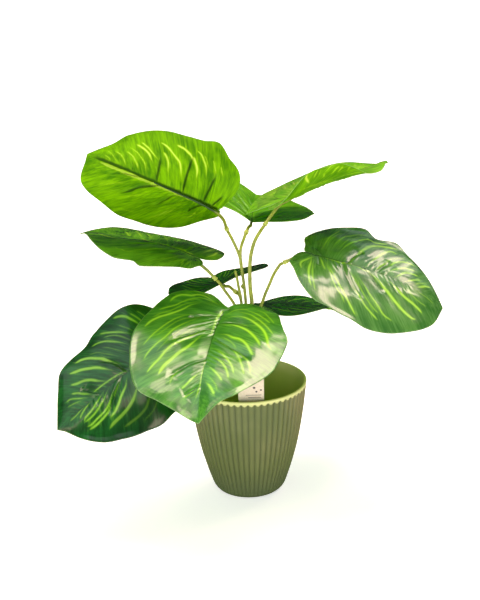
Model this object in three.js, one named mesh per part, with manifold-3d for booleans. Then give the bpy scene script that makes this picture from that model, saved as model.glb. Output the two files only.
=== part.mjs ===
// Artificial potted alocasia: nine heart-shaped leaves on plastic stalks, set in a ribbed pot.
// Millimetres, +Z up. The origin is the centre of the pot's underside. -Y is the front.
import * as THREE from 'three';
import { mergeVertices } from 'three/addons/utils/BufferGeometryUtils.js';
import Module from 'manifold-3d';

const wasm = await Module();
wasm.setup();

// ---------------------------------------------------------------- driving dimensions
const POT_HEIGHT = 118;        // underside to rim
const POT_RIM_R = 60;          // radius over the rib crests at the rim
const POT_WALL = 2.6;
const RIBS = 56;
const RIB_DEPTH = 1.3;         // crest to groove
const LIP_BAND = 3.2;          // smooth band above the grooves
const FLOOR = 3.0;
// outer radius over the crests, as [height, radius]
const POT_PROFILE = [[0, 26.5], [1.6, 31.8], [5.9, 36.0], [15.3, 39.7], [47.2, 48.9],
  [78, 54.9], [POT_HEIGHT - LIP_BAND, 59.6]];
const FILL_TOP = 70;           // top of the weighted plug
const FILL_BOTTOM = 3.4;
const SOCKET_DEPTH = 42;       // blind hole for the stem, down from the plug's top
const STEM_R = 4.0;
const CROWN = [1.5, 0, 172];   // centre of the crown's top face
const CROWN_R = 8.0;
const STALK_R = 1.45;
const THICK_STALK_R = 2.1;
const PEG_DEPTH = 6;           // how deep a stalk sits in the crown
const GAP = 0.3;               // between touching pieces
const BLADE_T = 0.9;           // leaf sheet
const SPINE_END = 66;          // length of the rib under the blade, along the midrib
const LABEL = { w: 25, t: 0.6, x: 3.5, foot: [-37.5, FILL_TOP + 0.5], head: [-58.4, 144.5] };

// ---------------------------------------------------------------- leaf blank, flat
// Half outline of the flat leaf: [parameter, distance from midrib, distance along midrib].
// The node, where the stalk meets the blade, is at 0,0 and the tip at 0,LEAF_LEN.
const LEAF_LEN = 140;
const OUTLINE = [[0, 0, 0], [.05, 3.5, -11], [.10, 11, -20], [.15, 22, -24.5], [.22, 37, -24.5], [.30, 53, -17.5],
  [.38, 66, -4], [.46, 73.5, 13], [.54, 76, 33], [.62, 74, 54], [.70, 67, 75], [.78, 54.5, 95.5], [.86, 37, 114],
  [.93, 18, 128.5], [.97, 7.5, 135.5], [1, 0, 140]];
const FAN = 0.34;              // veins below this parameter all leave from the node
const TRIM_AT = [.03, .08, .13, .18, .24, .30, .37, .44, .51, .58, .65, .72, .79, .86, .92, .97];

// Each leaf: place of the node, compass turn, pitch and roll in degrees, size, and how the sheet is bent.
// bend: [start, slope, curve, lobes] along the midrib; sway: sideways; twist; half: [fold, fold slope, cup, cup slope];
// wave: cosine and sine pairs around the edge, 2 to 5 waves; trim: outline multipliers at TRIM_AT, left and right.
const LEAVES = {
  upper_left: {
    node: [-24.13, -10.0, 301.62], turn: [-86.8, 22.08, 57.65], size: 0.9715,
    bend: [-0.089, -0.043, -0.201, 0.122], sway: [-0.246, -0.064], twist: [0.038, 0.1],
    left: [0.105, -0.081, 0.011, -0.05], right: [0.184, -0.23, 0.116, -0.12],
    wave: [-0.96, -3.89, 0.54, 1.61, -3.71, -0.76, 1.72, -0.98],
    trimL: [0.386, 0.173, 0.09, 0.18, 0.232, 0.671, 0.839, 0.901, 1.077, 0.999, 0.978, 1.004, 1.031, 1.041, 0.934, 0.927],
    trimR: [0.39, 0.198, 0.161, 0.158, 0.147, 0.216, 0.391, 0.674, 0.905, 0.931, 0.955, 1.06, 1.105, 1.229, 1.346, 1.231],
    collar: [-16.24, 11.0, 272.75], lead: [[-19.69, -7.5, 288.97]],
  },
  left: {
    node: [-49.91, -4.0, 253.88], turn: [-57.2, 6.77, 2.38], size: 0.9724,
    bend: [-0.102, -0.066, 0.182, -0.166], sway: [-0.042, -0.037], twist: [0.062, -0.095],
    left: [0.135, 0.082, -0.212, 0.055], right: [-0.013, -0.02, -0.455, -0.226],
    wave: [-5.0, -0.07, -2.42, -1.4, -1.31, 1.44, 0.41, 1.11],
    trimL: [0.99, 0.99, 0.983, 0.994, 1.076, 1.026, 1.047, 1.07, 0.952, 1.04, 1.038, 1.017, 0.97, 0.976, 0.987, 0.991],
    trimR: [0.978, 0.934, 0.856, 0.79, 0.72, 0.74, 0.83, 0.93, 0.994, 1.007, 1.009, 1.005, 0.997, 0.991, 0.992, 0.992],
    collar: [-27.89, -3.0, 225.8], lead: [[-37.27, -3.6, 236.69]],
  },
  back: {
    node: [-21.35, 32.0, 210.37], turn: [-3.99, -20.59, -48.44], size: 0.6319,
    bend: [0.139, 0.41, 0.359, 0.066], sway: [0.019, 0.043], twist: [0.487, -0.234],
    left: [0.474, 0.549, -0.092, 0.023], right: [-0.196, 0.121, -0.256, -0.275],
    wave: [-2.99, 10.7, 0.05, -0.24, 0.73, -0.52, -1.4, 0.26],
    trimL: [1.017, 1.028, 1.042, 1.081, 1.118, 1.147, 1.118, 1.087, 1.046, 1.035, 1.021, 0.967, 0.916, 0.88, 0.904, 0.936],
    trimR: [1.043, 1.069, 1.049, 1.0, 0.944, 0.945, 0.977, 1.005, 1.005, 1.0, 0.956, 0.914, 0.865, 0.866, 0.935, 0.959],
    collar: [-8.27, 9.0, 207.49], lead: [[-15.48, 20.0, 210.21]],
  },
  right: {
    node: [68.49, -14.0, 253.76], turn: [98.16, -15.31, 20.59], size: 1.0138,
    bend: [-0.153, -0.374, -0.077, -0.062], sway: [-0.113, -0.052], twist: [0.058, 0.022],
    left: [-0.079, -0.145, -0.257, -0.124], right: [0.09, -0.224, 0.001, -0.353],
    wave: [-5.82, -3.67, -2.94, 3.92, -1.48, -1.2, -0.4, 0.05],
    trimL: [0.78, 0.6, 0.47, 0.46, 0.477, 0.792, 0.902, 0.944, 0.979, 1.046, 0.903, 1.082, 0.997, 1.008, 1.032, 1.033],
    trimR: [0.898, 0.857, 0.757, 0.801, 0.861, 0.87, 0.999, 1.044, 0.965, 0.962, 1.035, 1.076, 1.106, 1.167, 1.225, 1.184],
    collar: [38.21, -9.0, 243.49], lead: [[48.28, -12.5, 249.27]],
  },
  upper_right: {
    node: [33.9, 24.0, 295.79], turn: [56.74, 10.61, -5.77], size: 0.9668,
    bend: [-0.046, -0.045, 0.136, 0.163], sway: [0.042, 0.144], twist: [0.117, 0.024],
    left: [-0.065, 0.031, -0.252, -0.105], right: [0.17, 0.047, 0.418, -0.019],
    wave: [-2.1, -3.45, 2.14, 2.35, -0.74, 4.3, -3.26, 0.93],
    trimL: [1.062, 1.065, 1.06, 0.966, 0.839, 0.846, 0.872, 0.937, 1.009, 0.951, 0.993, 1.004, 1.018, 1.02, 1.007, 1.012],
    trimR: [0.948, 0.916, 0.887, 0.921, 0.988, 1.003, 1.013, 0.963, 0.926, 0.995, 0.994, 0.976, 1.06, 1.046, 0.997, 1.005],
    collar: [20.37, 8.0, 276.89], lead: [[26.75, 16.5, 283.3]],
  },
  upper_back: {
    node: [8.4, 43.0, 268.46], turn: [0.1, -6.78, 0.1], size: 0.8609,
    bend: [0.092, 0.143, 0.053, 0.073], sway: [0.078, 0.055], twist: [0.021, -0.005],
    left: [0.678, 0.211, -0.052, 0.111], right: [0.116, 0.08, -0.026, -0.242],
    wave: [3.38, -0.46, -0.3, 0.6, 0.76, 0.44, -0.94, -1.14],
    trimL: [0.898, 0.894, 0.993, 1.04, 1.03, 1.017, 1.01, 1.005, 1.003, 1.002, 1.003, 1.004, 1.005, 1.01, 1.013, 1.009],
    trimR: [0.992, 0.994, 1.002, 1.023, 1.01, 1.067, 1.009, 0.972, 0.984, 0.973, 1.008, 1.029, 0.998, 1.019, 1.002, 1.0],
    collar: [2.31, 11.0, 268.68], lead: [[4.74, 26.0, 269.66]],
  },
  front: {
    node: [-21.26, -47.0, 209.57], turn: [197.48, -18.65, 1.53], size: 0.9834,
    bend: [-0.411, 0.45, -0.025, -0.042], sway: [-0.088, -0.229], twist: [0.109, 0.121],
    left: [-0.008, -0.056, -0.192, -0.113], right: [0.062, -0.009, -0.078, 0.194],
    wave: [-4.32, -1.6, 0.61, 0.25, -1.2, -3.05, -1.6, -0.01],
    trimL: [0.99, 0.991, 1.022, 1.02, 0.916, 0.88, 0.844, 0.83, 0.887, 0.996, 0.988, 1.007, 1.005, 1.01, 0.882, 0.901],
    trimR: [0.996, 0.995, 0.995, 0.975, 1.018, 1.026, 0.976, 0.956, 0.998, 1.052, 1.063, 1.103, 1.152, 1.033, 0.966, 0.968],
    collar: [-9.0, -24.0, 191.6], lead: [[-17.0, -38.5, 203.3]],
  },
  front_left: {
    node: [-77.21, -42.0, 174.39], turn: [-122.11, -20.06, -2.63], size: 0.9596,
    bend: [-0.301, -0.002, 0.157, -0.001], sway: [0.07, -0.0], twist: [-0.066, -0.041],
    left: [-0.153, -0.232, -0.162, -0.336], right: [0.137, 0.004, 0.059, -0.02],
    wave: [0.13, -0.79, 1.11, 1.66, -0.57, 0.0, 0.46, -2.82],
    trimL: [1.001, 1.002, 1.002, 1.003, 1.003, 1.003, 1.002, 0.998, 0.991, 0.978, 1.026, 0.997, 1.005, 1.092, 1.15, 1.02],
    trimR: [1.004, 1.006, 1.011, 1.021, 1.042, 1.021, 1.038, 1.033, 1.025, 1.019, 0.953, 0.995, 1.044, 1.006, 1.011, 1.009],
    collar: [-52.0, -28.0, 181.0], lead: [[-64.0, -35.5, 176.8]],
  },
  back_right: {
    node: [17.33, 45.0, 179.84], turn: [62.95, -7.58, -3.04], size: 0.9457,
    bend: [-0.179, -0.087, -0.641, -0.012], sway: [0.267, 0.087], twist: [-0.084, 0.077],
    left: [-0.036, -0.027, -0.272, 0.073], right: [0.11, 0.053, -0.004, 0.086],
    wave: [-3.34, -3.39, -2.45, 2.41, 4.21, 1.59, 1.19, 0.82],
    trimL: [1.0, 1.0, 0.999, 0.997, 0.994, 0.994, 0.992, 0.986, 0.976, 0.982, 0.99, 1.022, 1.012, 1.005, 1.002, 1.001],
    trimR: [1.007, 1.005, 1.001, 0.999, 0.995, 0.993, 0.988, 0.976, 0.986, 0.994, 0.999, 1.002, 1.002, 1.001, 1.001, 1.001],
    collar: [9.8, 16.0, 183.4], lead: [[13.2, 31.0, 182.6]],
  },
};

// Stalk centre lines, crown end first. The first point is in the crown's socket.
const STALKS = {
  stalk_upper_right: {
    points: [[1.50, 0.00, 166.30], [1.50, 0.00, 174.40], [6.34, 0.50, 198.31], [5.28, 1.50, 212.67], [5.04, 2.50, 227.97], [6.25, 3.80, 246.15], [10.73, 5.50, 261.95], [16.33, 7.00, 271.37], [18.32, 5.26, 274.82], [20.17, 7.73, 276.68]],
    crown: true, thick: true, endR: 1.6, steps: 14,
  },
  stalk_upper_fork: {
    points: [[1.26, 4.59, 166.30], [1.26, 4.59, 174.40], [0.43, 5.20, 197.85], [-0.67, 6.20, 214.35], [-2.38, 7.40, 229.66], [-3.79, 8.50, 244.39], [-3.07, 9.20, 253.96], [1.67, 7.06, 268.43], [2.24, 10.61, 268.66]],
    crown: true, steps: 13,
    branch: [{ points: [[-3.14, 8.20, 238.77], [-4.55, 8.70, 245.89], [-7.31, 9.60, 253.33], [-11.59, 10.40, 263.07], [-15.68, 13.98, 270.14], [-16.18, 11.30, 272.49]], steps: 7 }],
  },
  stalk_back: {
    points: [[-2.22, 2.70, 166.30], [-2.22, 2.70, 174.40], [-3.94, 4.60, 198.17], [-4.56, 5.20, 205.35], [-6.23, 5.80, 214.11], [-7.49, 6.20, 222.89], [-9.25, 6.60, 231.56]],
    crown: true, endR: 1.25, steps: 11,
    branch: [{ points: [[-4.11, 4.80, 199.69], [-4.99, 6.00, 204.03], [-6.12, 5.72, 206.68], [-8.05, 8.67, 207.41]], steps: 3 }],
  },
  stalk_left: {
    points: [[-2.92, -1.27, 166.30], [-2.92, -1.27, 174.40], [-9.20, -1.50, 195.22], [-13.53, -1.80, 203.84], [-20.25, -2.30, 214.44], [-25.29, -2.83, 222.77], [-27.63, -2.98, 225.50]],
    crown: true, steps: 9,
  },
  stalk_right: {
    points: [[6.03, -0.80, 166.30], [6.03, -0.80, 174.40], [15.60, -1.50, 197.20], [19.35, -2.60, 208.29], [24.06, -4.00, 219.91], [28.52, -6.00, 231.03], [32.91, -7.60, 238.66], [34.89, -7.85, 241.59], [37.88, -8.88, 243.30]],
    crown: true, steps: 12,
  },
  stalk_front: {
    points: [[3.66, -4.06, 166.30], [3.66, -4.06, 174.40], [1.50, -8.50, 181.50], [-3.00, -15.00, 187.00], [-7.42, -21.14, 189.29], [-8.84, -23.71, 191.37]],
    crown: true, steps: 10,
  },
  stalk_front_left: {
    points: [[-0.30, -4.23, 166.30], [-0.30, -4.23, 174.40], [-5.20, -7.50, 183.00], [-18.00, -13.00, 190.00], [-36.00, -20.50, 188.00], [-48.75, -25.97, 182.14], [-51.67, -27.80, 181.11]],
    crown: true, steps: 11,
  },
  stalk_back_right: {
    points: [[4.97, 3.02, 166.30], [4.97, 3.02, 174.40], [6.20, 6.20, 179.60], [8.92, 12.10, 183.61], [9.71, 15.61, 183.42]],
    crown: true, steps: 5,
  },
};

// ---------------------------------------------------------------- helpers
function slopes(xs, ys) {      // shape-preserving slopes for a cubic through the points
  const n = xs.length, h = [], d = [], m = new Array(n).fill(0);
  for (let i = 0; i < n - 1; i++) { h.push(xs[i + 1] - xs[i]); d.push((ys[i + 1] - ys[i]) / h[i]); }
  for (let i = 1; i < n - 1; i++) {
    if (d[i - 1] * d[i] > 0) {
      const w1 = 2 * h[i] + h[i - 1], w2 = h[i] + 2 * h[i - 1];
      m[i] = (w1 + w2) / (w1 / d[i - 1] + w2 / d[i]);
    }
  }
  const end = (h0, h1, d0, d1) => {
    let v = ((2 * h0 + h1) * d0 - h0 * d1) / (h0 + h1);
    if (v * d0 <= 0) v = 0; else if (d0 * d1 <= 0 && Math.abs(v) > 3 * Math.abs(d0)) v = 3 * d0;
    return v;
  };
  m[0] = end(h[0], h[1], d[0], d[1]);
  m[n - 1] = end(h[n - 2], h[n - 3], d[n - 2], d[n - 3]);
  return m;
}
function cubic(xs, ys, ms, x) {
  let i = 0;
  while (i < xs.length - 2 && x > xs[i + 1]) i++;
  const h = xs[i + 1] - xs[i], t = Math.min(1, Math.max(0, (x - xs[i]) / h)), t2 = t * t, t3 = t2 * t;
  return (2 * t3 - 3 * t2 + 1) * ys[i] + (t3 - 2 * t2 + t) * h * ms[i] + (3 * t2 - 2 * t3) * ys[i + 1] + (t3 - t2) * h * ms[i + 1];
}
const lerpTable = (xs, ys, x) => {
  if (x <= xs[0]) return ys[0];
  for (let i = 0; i < xs.length - 1; i++) if (x <= xs[i + 1]) return ys[i] + (ys[i + 1] - ys[i]) * (x - xs[i]) / (xs[i + 1] - xs[i]);
  return ys[ys.length - 1];
};
const OA = OUTLINE.map(r => r[0]), OX = OUTLINE.map(r => r[1]), OY = OUTLINE.map(r => r[2]);
const MX = slopes(OA, OX), MY = slopes(OA, OY);
const clamp = (v, a, b) => Math.min(b, Math.max(a, v));

// flat position of a point: a runs round the half outline, q from midrib to edge
function flat(a, q, side, trim) {
  const X = cubic(OA, OX, MX, a), Y = cubic(OA, OY, MY, a);
  const t = clamp((a - FAN) / (1 - FAN), 0, 1), S = LEAF_LEN * t * t, k = lerpTable(TRIM_AT, trim, a);
  const bow = -0.05 * Math.abs(X) * 4 * (q - q * q) * clamp((a - .2) / .2, 0, 1) * clamp((1 - a) / .15, 0, 1);
  return [side * X * k * q, S + (Y - S) * k * q + bow];
}

// bends the flat sheet into space
function leafShape(L) {
  const D = Math.PI / 180, n = 146, es = [], al = [], be = [], C = [[0, 0, 0]];
  const [k0, k1, k2, kb] = L.bend, [s0, s1] = L.sway;
  for (let i = 0; i < n; i++) {
    const e = -0.3 + i * 0.01;
    es.push(e);
    al.push(e >= 0 ? k0 * e + k1 * e * e / 2 + k2 * e * e * e / 3 : kb * e);
    be.push(e >= 0 ? s0 * e + s1 * e * e / 2 : 0);
  }
  const T = i => [Math.sin(be[i]) * Math.cos(al[i]), Math.cos(be[i]) * Math.cos(al[i]), Math.sin(al[i])];
  for (let i = 1; i < n; i++) {
    const p = T(i - 1), q = T(i);
    C.push([0, 1, 2].map(k => C[i - 1][k] + (p[k] + q[k]) * 0.005 * LEAF_LEN));
  }
  const at = (arr, e) => { const u = clamp((e + 0.3) / 0.01, 0, n - 1.000001), i = Math.floor(u), f = u - i; return arr[i] * (1 - f) + arr[i + 1] * f; };
  const Cx = [0, 1, 2].map(k => C.map(c => c[k])), C0 = [0, 1, 2].map(k => at(Cx[k], 0));
  const [h, p, r] = L.turn.map(v => v * D);
  const m = new THREE.Matrix4().makeRotationZ(-h).multiply(new THREE.Matrix4().makeRotationX(p)).multiply(new THREE.Matrix4().makeRotationY(r));
  return (x, y) => {
    const eta = y / LEAF_LEN, e = clamp(eta, -.3, 1.1), right = x >= 0, H = right ? L.right : L.left;
    const f = H[0] + H[1] * e, s = Math.abs(x);
    let c = (H[2] + H[3] * e) / 75; if (Math.abs(c) < 1e-7) c = 1e-7;
    let X = (Math.sin(f + c * s) - Math.sin(f)) / c; if (!right) X = -X;
    let Z = (Math.cos(f) - Math.cos(f + c * s)) / c;
    const u = x / 76, v = (y - 0.42 * LEAF_LEN) / (0.58 * LEAF_LEN), ph = Math.atan2(u, v);
    let w = 0;
    for (let k = 2; k <= 5; k++) w += L.wave[2 * k - 4] * Math.cos(k * ph) + L.wave[2 * k - 3] * Math.sin(k * ph);
    Z += w * Math.pow(Math.min(u * u + v * v, 1.6), 1.5);
    const tw = L.twist[0] * e + L.twist[1] * e * e;
    const X2 = X * Math.cos(tw) + Z * Math.sin(tw), Z2 = -X * Math.sin(tw) + Z * Math.cos(tw);
    const a = at(al, eta), b = at(be, eta);
    const B = [Math.cos(b), -Math.sin(b), 0], Tt = [Math.sin(b) * Math.cos(a), Math.cos(b) * Math.cos(a), Math.sin(a)];
    const N = [B[1] * Tt[2] - B[2] * Tt[1], B[2] * Tt[0] - B[0] * Tt[2], B[0] * Tt[1] - B[1] * Tt[0]];
    const P = [0, 1, 2].map(k => (at(Cx[k], eta) - C0[k] + B[k] * X2 + N[k] * Z2) * L.size);
    return new THREE.Vector3(...P).applyMatrix4(m).add(new THREE.Vector3(...L.node));
  };
}
function leafNormal(S, x, y) {
  const d = 0.6, l = S(x - d, y), r = S(x + d, y), b = S(x, y - d), t = S(x, y + d);
  return r.sub(l).cross(t.sub(b)).normalize();
}

function solid(positions, index) {
  const g = new THREE.BufferGeometry();
  g.setAttribute('position', new THREE.Float32BufferAttribute(positions, 3));
  g.setIndex(index);
  return g;
}

// leaf sheet: upper and lower faces joined round the edge
function blade(L, na = 17, nq = 4) {
  const S = leafShape(L), A = [], P = [];
  for (let i = 0; i < 7; i++) A.push(0.3 * i / 6);
  for (let i = 1; i < na - 6; i++) A.push(0.3 + 0.7 * i / (na - 7));
  const keys = new Map(), pts = [];
  const id = (key, x, y) => { if (!keys.has(key)) { keys.set(key, pts.length); pts.push([x, y]); } return keys.get(key); };
  const grid = [-1, 1].map(side => A.map((a, i) => {
    const row = [];
    for (let j = 0; j <= nq; j++) {
      let [x, y] = flat(a, j / nq, side, side < 0 ? L.trimL : L.trimR);
      let key = side + ':' + i + ':' + j;
      if (i === 0 || (j === 0 && a <= FAN)) { key = 'node'; x = 0; y = 0; }
      else if (i === A.length - 1) key = 'tip';
      else if (j === 0) key = 'mid' + i;
      row.push(id(key, x, y));
    }
    return row;
  }));
  const n = pts.length, pos = [];
  for (const s of [1, -1]) for (const [x, y] of pts) {
    const p = S(x, y), m = leafNormal(S, x, y);
    p.addScaledVector(m, s * BLADE_T / 2);
    pos.push(p.x, p.y, p.z);
  }
  const tri = [], add = (a, b, c, flip) => {
    if (a === b || b === c || a === c) return;
    if (flip) [b, c] = [c, b];
    tri.push(a, b, c, a + n, c + n, b + n);
  };
  grid.forEach((G, s) => {
    const flip = s === 0;
    for (let i = 0; i < G.length - 1; i++) {
      for (let j = 0; j < nq; j++) {
        add(G[i][j], G[i][j + 1], G[i + 1][j + 1], flip);
        add(G[i][j], G[i + 1][j + 1], G[i + 1][j], flip);
      }
      const a = G[i][nq], b = G[i + 1][nq];
      if (!flip) tri.push(a, a + n, b + n, a, b + n, b); else tri.push(a, b + n, a + n, a, b, b + n);
    }
  });
  return solid(pos, tri);
}

// round bar of changing radius along a line of points, closed at both ends
function bar(points, radii, sides = 8) {
  const n = points.length, pos = [], tri = [];
  let side = null;
  for (let i = 0; i < n; i++) {
    const t = points[Math.min(i + 1, n - 1)].clone().sub(points[Math.max(i - 1, 0)]).normalize();
    if (!side) side = new THREE.Vector3(Math.abs(t.x) > 0.8 ? 0 : 1, Math.abs(t.x) > 0.8 ? 1 : 0, 0);
    side.addScaledVector(t, -side.dot(t)).normalize();
    const up = t.clone().cross(side);
    for (let k = 0; k < sides; k++) {
      const a = 2 * Math.PI * k / sides;
      const p = points[i].clone().addScaledVector(side, Math.cos(a) * radii[i]).addScaledVector(up, Math.sin(a) * radii[i]);
      pos.push(p.x, p.y, p.z);
    }
  }
  for (let i = 0; i < n - 1; i++) for (let k = 0; k < sides; k++) {
    const a = i * sides + k, b = i * sides + (k + 1) % sides;
    tri.push(a, b, b + sides, a, b + sides, a + sides);
  }
  for (const [row, flip] of [[0, true], [n - 1, false]]) {
    const c = pos.length / 3, p = points[row];
    pos.push(p.x, p.y, p.z);
    for (let k = 0; k < sides; k++) {
      const a = row * sides + k, b = row * sides + (k + 1) % sides;
      if (flip) tri.push(c, b, a); else tri.push(c, a, b);
    }
  }
  return solid(pos, tri);
}
const V = a => new THREE.Vector3(...a);
function along(list, count) { return new THREE.CatmullRomCurve3(list.map(V), false, 'centripetal').getSpacedPoints(count); }

function toManifold(g) {
  const q = g.clone();
  for (const k of Object.keys(q.attributes)) if (k !== 'position') q.deleteAttribute(k);
  const m = mergeVertices(q, 1e-4);
  return new wasm.Manifold(new wasm.Mesh({ numProp: 3, vertProperties: new Float32Array(m.attributes.position.array), triVerts: new Uint32Array(m.index.array) }));
}
function fromManifold(m) {
  const r = m.getMesh();
  return solid(Array.from(r.vertProperties), Array.from(r.triVerts));
}

// ---------------------------------------------------------------- pieces
const group = new THREE.Group();
const mats = {
  pot: new THREE.MeshStandardMaterial({ color: 0x7c8650, roughness: 0.55, metalness: 0 }),
  filler: new THREE.MeshStandardMaterial({ color: 0x5b4a38, roughness: 0.95, metalness: 0 }),
  label: new THREE.MeshStandardMaterial({ color: 0xd8cdb8, roughness: 0.7, metalness: 0 }),
  stalk: new THREE.MeshStandardMaterial({ color: 0x8f9a34, roughness: 0.5, metalness: 0 }),
  blade: new THREE.MeshStandardMaterial({ color: 0x2f8418, roughness: 0.35, metalness: 0 }),
};
function piece(name, geometry, material) {
  const mesh = new THREE.Mesh(geometry, material);
  mesh.name = name;
  group.add(mesh);
  return mesh;
}

// pot: a lathed cup, its outer wall pressed into ribs
{
  const inner = [[78, 54.9 - POT_WALL], [47.2, 48.9 - POT_WALL]];
  const prof = [[0, 0], ...POT_PROFILE, [POT_HEIGHT - LIP_BAND + 0.9, POT_RIM_R - 0.5], [POT_HEIGHT, POT_RIM_R - 0.3], [POT_HEIGHT, POT_RIM_R - POT_WALL],
    ...inner, [9, 34.2], [FLOOR, 31.5], [FLOOR, 0]];
  const g = new THREE.LatheGeometry(prof.map(([z, r]) => new THREE.Vector2(r, z)), 2 * RIBS);
  g.rotateX(Math.PI / 2);
  const p = g.attributes.position, outer = new THREE.Vector3();
  for (let i = 0; i < p.count; i++) {
    outer.fromBufferAttribute(p, i);
    const r = Math.hypot(outer.x, outer.y), row = i % prof.length;
    if (row < 3 || row > POT_PROFILE.length) continue;
    const a = Math.atan2(outer.y, outer.x), groove = Math.round((a / (Math.PI / RIBS)) + 4 * RIBS) % 2 === 0;
    const depth = RIB_DEPTH * (row === 3 ? 0.6 : 1);
    if (groove) p.setXYZ(i, outer.x * (r - depth) / r, outer.y * (r - depth) / r, outer.z);
  }
  piece('pot', fromManifold(toManifold(g)), mats.pot);
}

// weighted plug, with a blind hole for the stem
{
  const rIn = z => lerpTable(POT_PROFILE.map(v => v[0]), POT_PROFILE.map(v => v[1]), z) - POT_WALL - 1.1;
  const prof = [[0, FILL_BOTTOM], [30.6, FILL_BOTTOM], [33.4, 10], [rIn(47.2) - .3, 47.2], [rIn(FILL_TOP), FILL_TOP],
    [STEM_R + GAP, FILL_TOP], [STEM_R + GAP, FILL_TOP - SOCKET_DEPTH], [0, FILL_TOP - SOCKET_DEPTH]];
  const g = new THREE.LatheGeometry(prof.map(([r, z]) => new THREE.Vector2(r, z)), 40);
  g.rotateX(Math.PI / 2);
  piece('pot_filler', fromManifold(toManifold(g)), mats.filler);
}

// card label, standing on the plug and leaning on the rim
{
  const [y0, z0] = LABEL.foot, [y1, z1] = LABEL.head, len = Math.hypot(y1 - y0, z1 - z0);
  const g = new THREE.BoxGeometry(LABEL.w, LABEL.t, len);
  g.translate(0, 0, len / 2);
  const mesh = piece('plant_label', g, mats.label);
  mesh.rotation.x = Math.atan2(-(y1 - y0), z1 - z0);
  mesh.position.set(LABEL.x, y0, z0);
}

// stem with its crown; each stalk's peg has a socket in the crown
{
  const c = CROWN, pts = [[0, 0, FILL_TOP - SOCKET_DEPTH + GAP], [0, 0, FILL_TOP], [.3, 0, 110], [.9, 0, 145], [c[0], c[1], c[2] - 15], [c[0], c[1], c[2] - 10],
    [c[0], c[1], c[2] - 4], [c[0], c[1], c[2] - 1], [c[0], c[1], c[2]]];
  const rad = [STEM_R, STEM_R, STEM_R, STEM_R, STEM_R + .5, CROWN_R - 1.2, CROWN_R, CROWN_R - .3, CROWN_R - 1.2];
  let m = toManifold(bar(pts.map(V), rad, 16));
  for (const s of Object.values(STALKS)) {
    if (!s.crown) continue;
    const a = V(s.points[0]), b = V(s.points[1]), d = b.clone().sub(a).normalize(), r = ((s.thick ? THICK_STALK_R : STALK_R) + GAP) / Math.cos(Math.PI / 10);
    const hole = bar([a.clone().addScaledVector(d, -GAP), a.clone().addScaledVector(d, 20)], [r, r], 10);
    m = m.subtract(toManifold(hole));
  }
  piece('main_stem', fromManifold(m), mats.stalk);
}

// stalks: one bar each, forked ones joined at the fork
for (const [name, s] of Object.entries(STALKS)) {
  const make = (list, r, r2, steps) => {
    const p = [V(list[0]), ...along(list.slice(1, -1), steps), V(list[list.length - 1])];
    return bar(p, p.map((_, i) => r + (r2 - r) * i / (p.length - 1)), 8);
  };
  const r = s.thick ? THICK_STALK_R : STALK_R;
  let g = make(s.points, r, s.endR ?? STALK_R, s.steps ?? 10);
  if (s.branch) {
    let m = toManifold(g);
    for (const b of s.branch) m = m.add(toManifold(make(b.points, STALK_R, b.endR ?? STALK_R, b.steps ?? 8)));
    g = fromManifold(m);
  }
  piece(name, g, mats.stalk);
}

// leaves: sleeve with double collar and back rib, and the sheet
for (const [name, L] of Object.entries(LEAVES)) {
  const S = leafShape(L), k = L.size;
  const under = (y, off) => { const p = S(0, y / k), n = leafNormal(S, 0.01, y / k); return p.addScaledVector(n, -off); };
  const base = BLADE_T / 2 + GAP;
  const spine = [[0.5, 1.75], [7, 1.6], [18, 1.45], [34, 1.2], [50, 0.95], [SPINE_END * Math.min(1, k + .1), 0.7]];
  const tail = spine.map(([y, r]) => under(y, base + r + (y < 2 ? 1.3 : 0.3)));
  const c0 = V(L.collar), lead = L.lead.map(V), dir = lead[0].clone().sub(c0).normalize();
  const curve = new THREE.CatmullRomCurve3([c0, c0.clone().addScaledVector(dir, 5.5), ...lead, ...tail], false, 'centripetal');
  const len = curve.getLength(), marks = [[0, 1.3], [0.5, 2.25], [1.7, 2.3], [2.4, 1.75], [3.1, 2.15], [4.3, 2.1], [5.2, 1.5]];
  const P = [], R = [];
  const nodeAt = c0.distanceTo(lead[0]) + lead[0].distanceTo(tail[0]);
  for (const [d, r] of marks) { P.push(curve.getPointAt(d / len)); R.push(r); }
  for (let i = 1; i <= 12; i++) {
    const d = 5.2 + (len - 5.2) * i / 12, f = clamp((d - nodeAt) / (len - nodeAt), 0, 1);
    P.push(curve.getPointAt(Math.min(1, d / len))); R.push(d < nodeAt ? 1.5 + .25 * (d - 5.2) / Math.max(1, nodeAt - 5.2) : 1.75 - 1.05 * f);
  }
  piece('leaf_sleeve_' + name, bar(P, R, 8), mats.stalk);
  piece('leaf_blade_' + name, blade(L), mats.blade);
}

export default group;
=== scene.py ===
# Artificial potted alocasia: builds the detailed leaves, stalks, pot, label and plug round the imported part.
# Lengths in the tables are millimetres; the row frame has +Z up, -Y to the front and its origin under the pot.
import math

import bpy
import numpy as np
from mathutils import Matrix


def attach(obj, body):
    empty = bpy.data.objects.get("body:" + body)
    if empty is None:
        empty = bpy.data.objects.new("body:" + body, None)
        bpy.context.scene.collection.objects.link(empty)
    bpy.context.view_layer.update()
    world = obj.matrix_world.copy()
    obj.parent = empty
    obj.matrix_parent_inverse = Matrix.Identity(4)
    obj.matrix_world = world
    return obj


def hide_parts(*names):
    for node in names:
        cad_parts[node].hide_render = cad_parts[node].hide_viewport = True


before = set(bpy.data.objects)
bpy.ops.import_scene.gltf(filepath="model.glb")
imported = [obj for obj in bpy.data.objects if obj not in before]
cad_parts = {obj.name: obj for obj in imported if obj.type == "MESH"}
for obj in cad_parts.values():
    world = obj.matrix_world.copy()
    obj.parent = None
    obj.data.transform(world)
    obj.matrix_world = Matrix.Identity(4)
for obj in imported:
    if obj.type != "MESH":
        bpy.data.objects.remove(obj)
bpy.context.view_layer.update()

MM = 0.001

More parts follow.
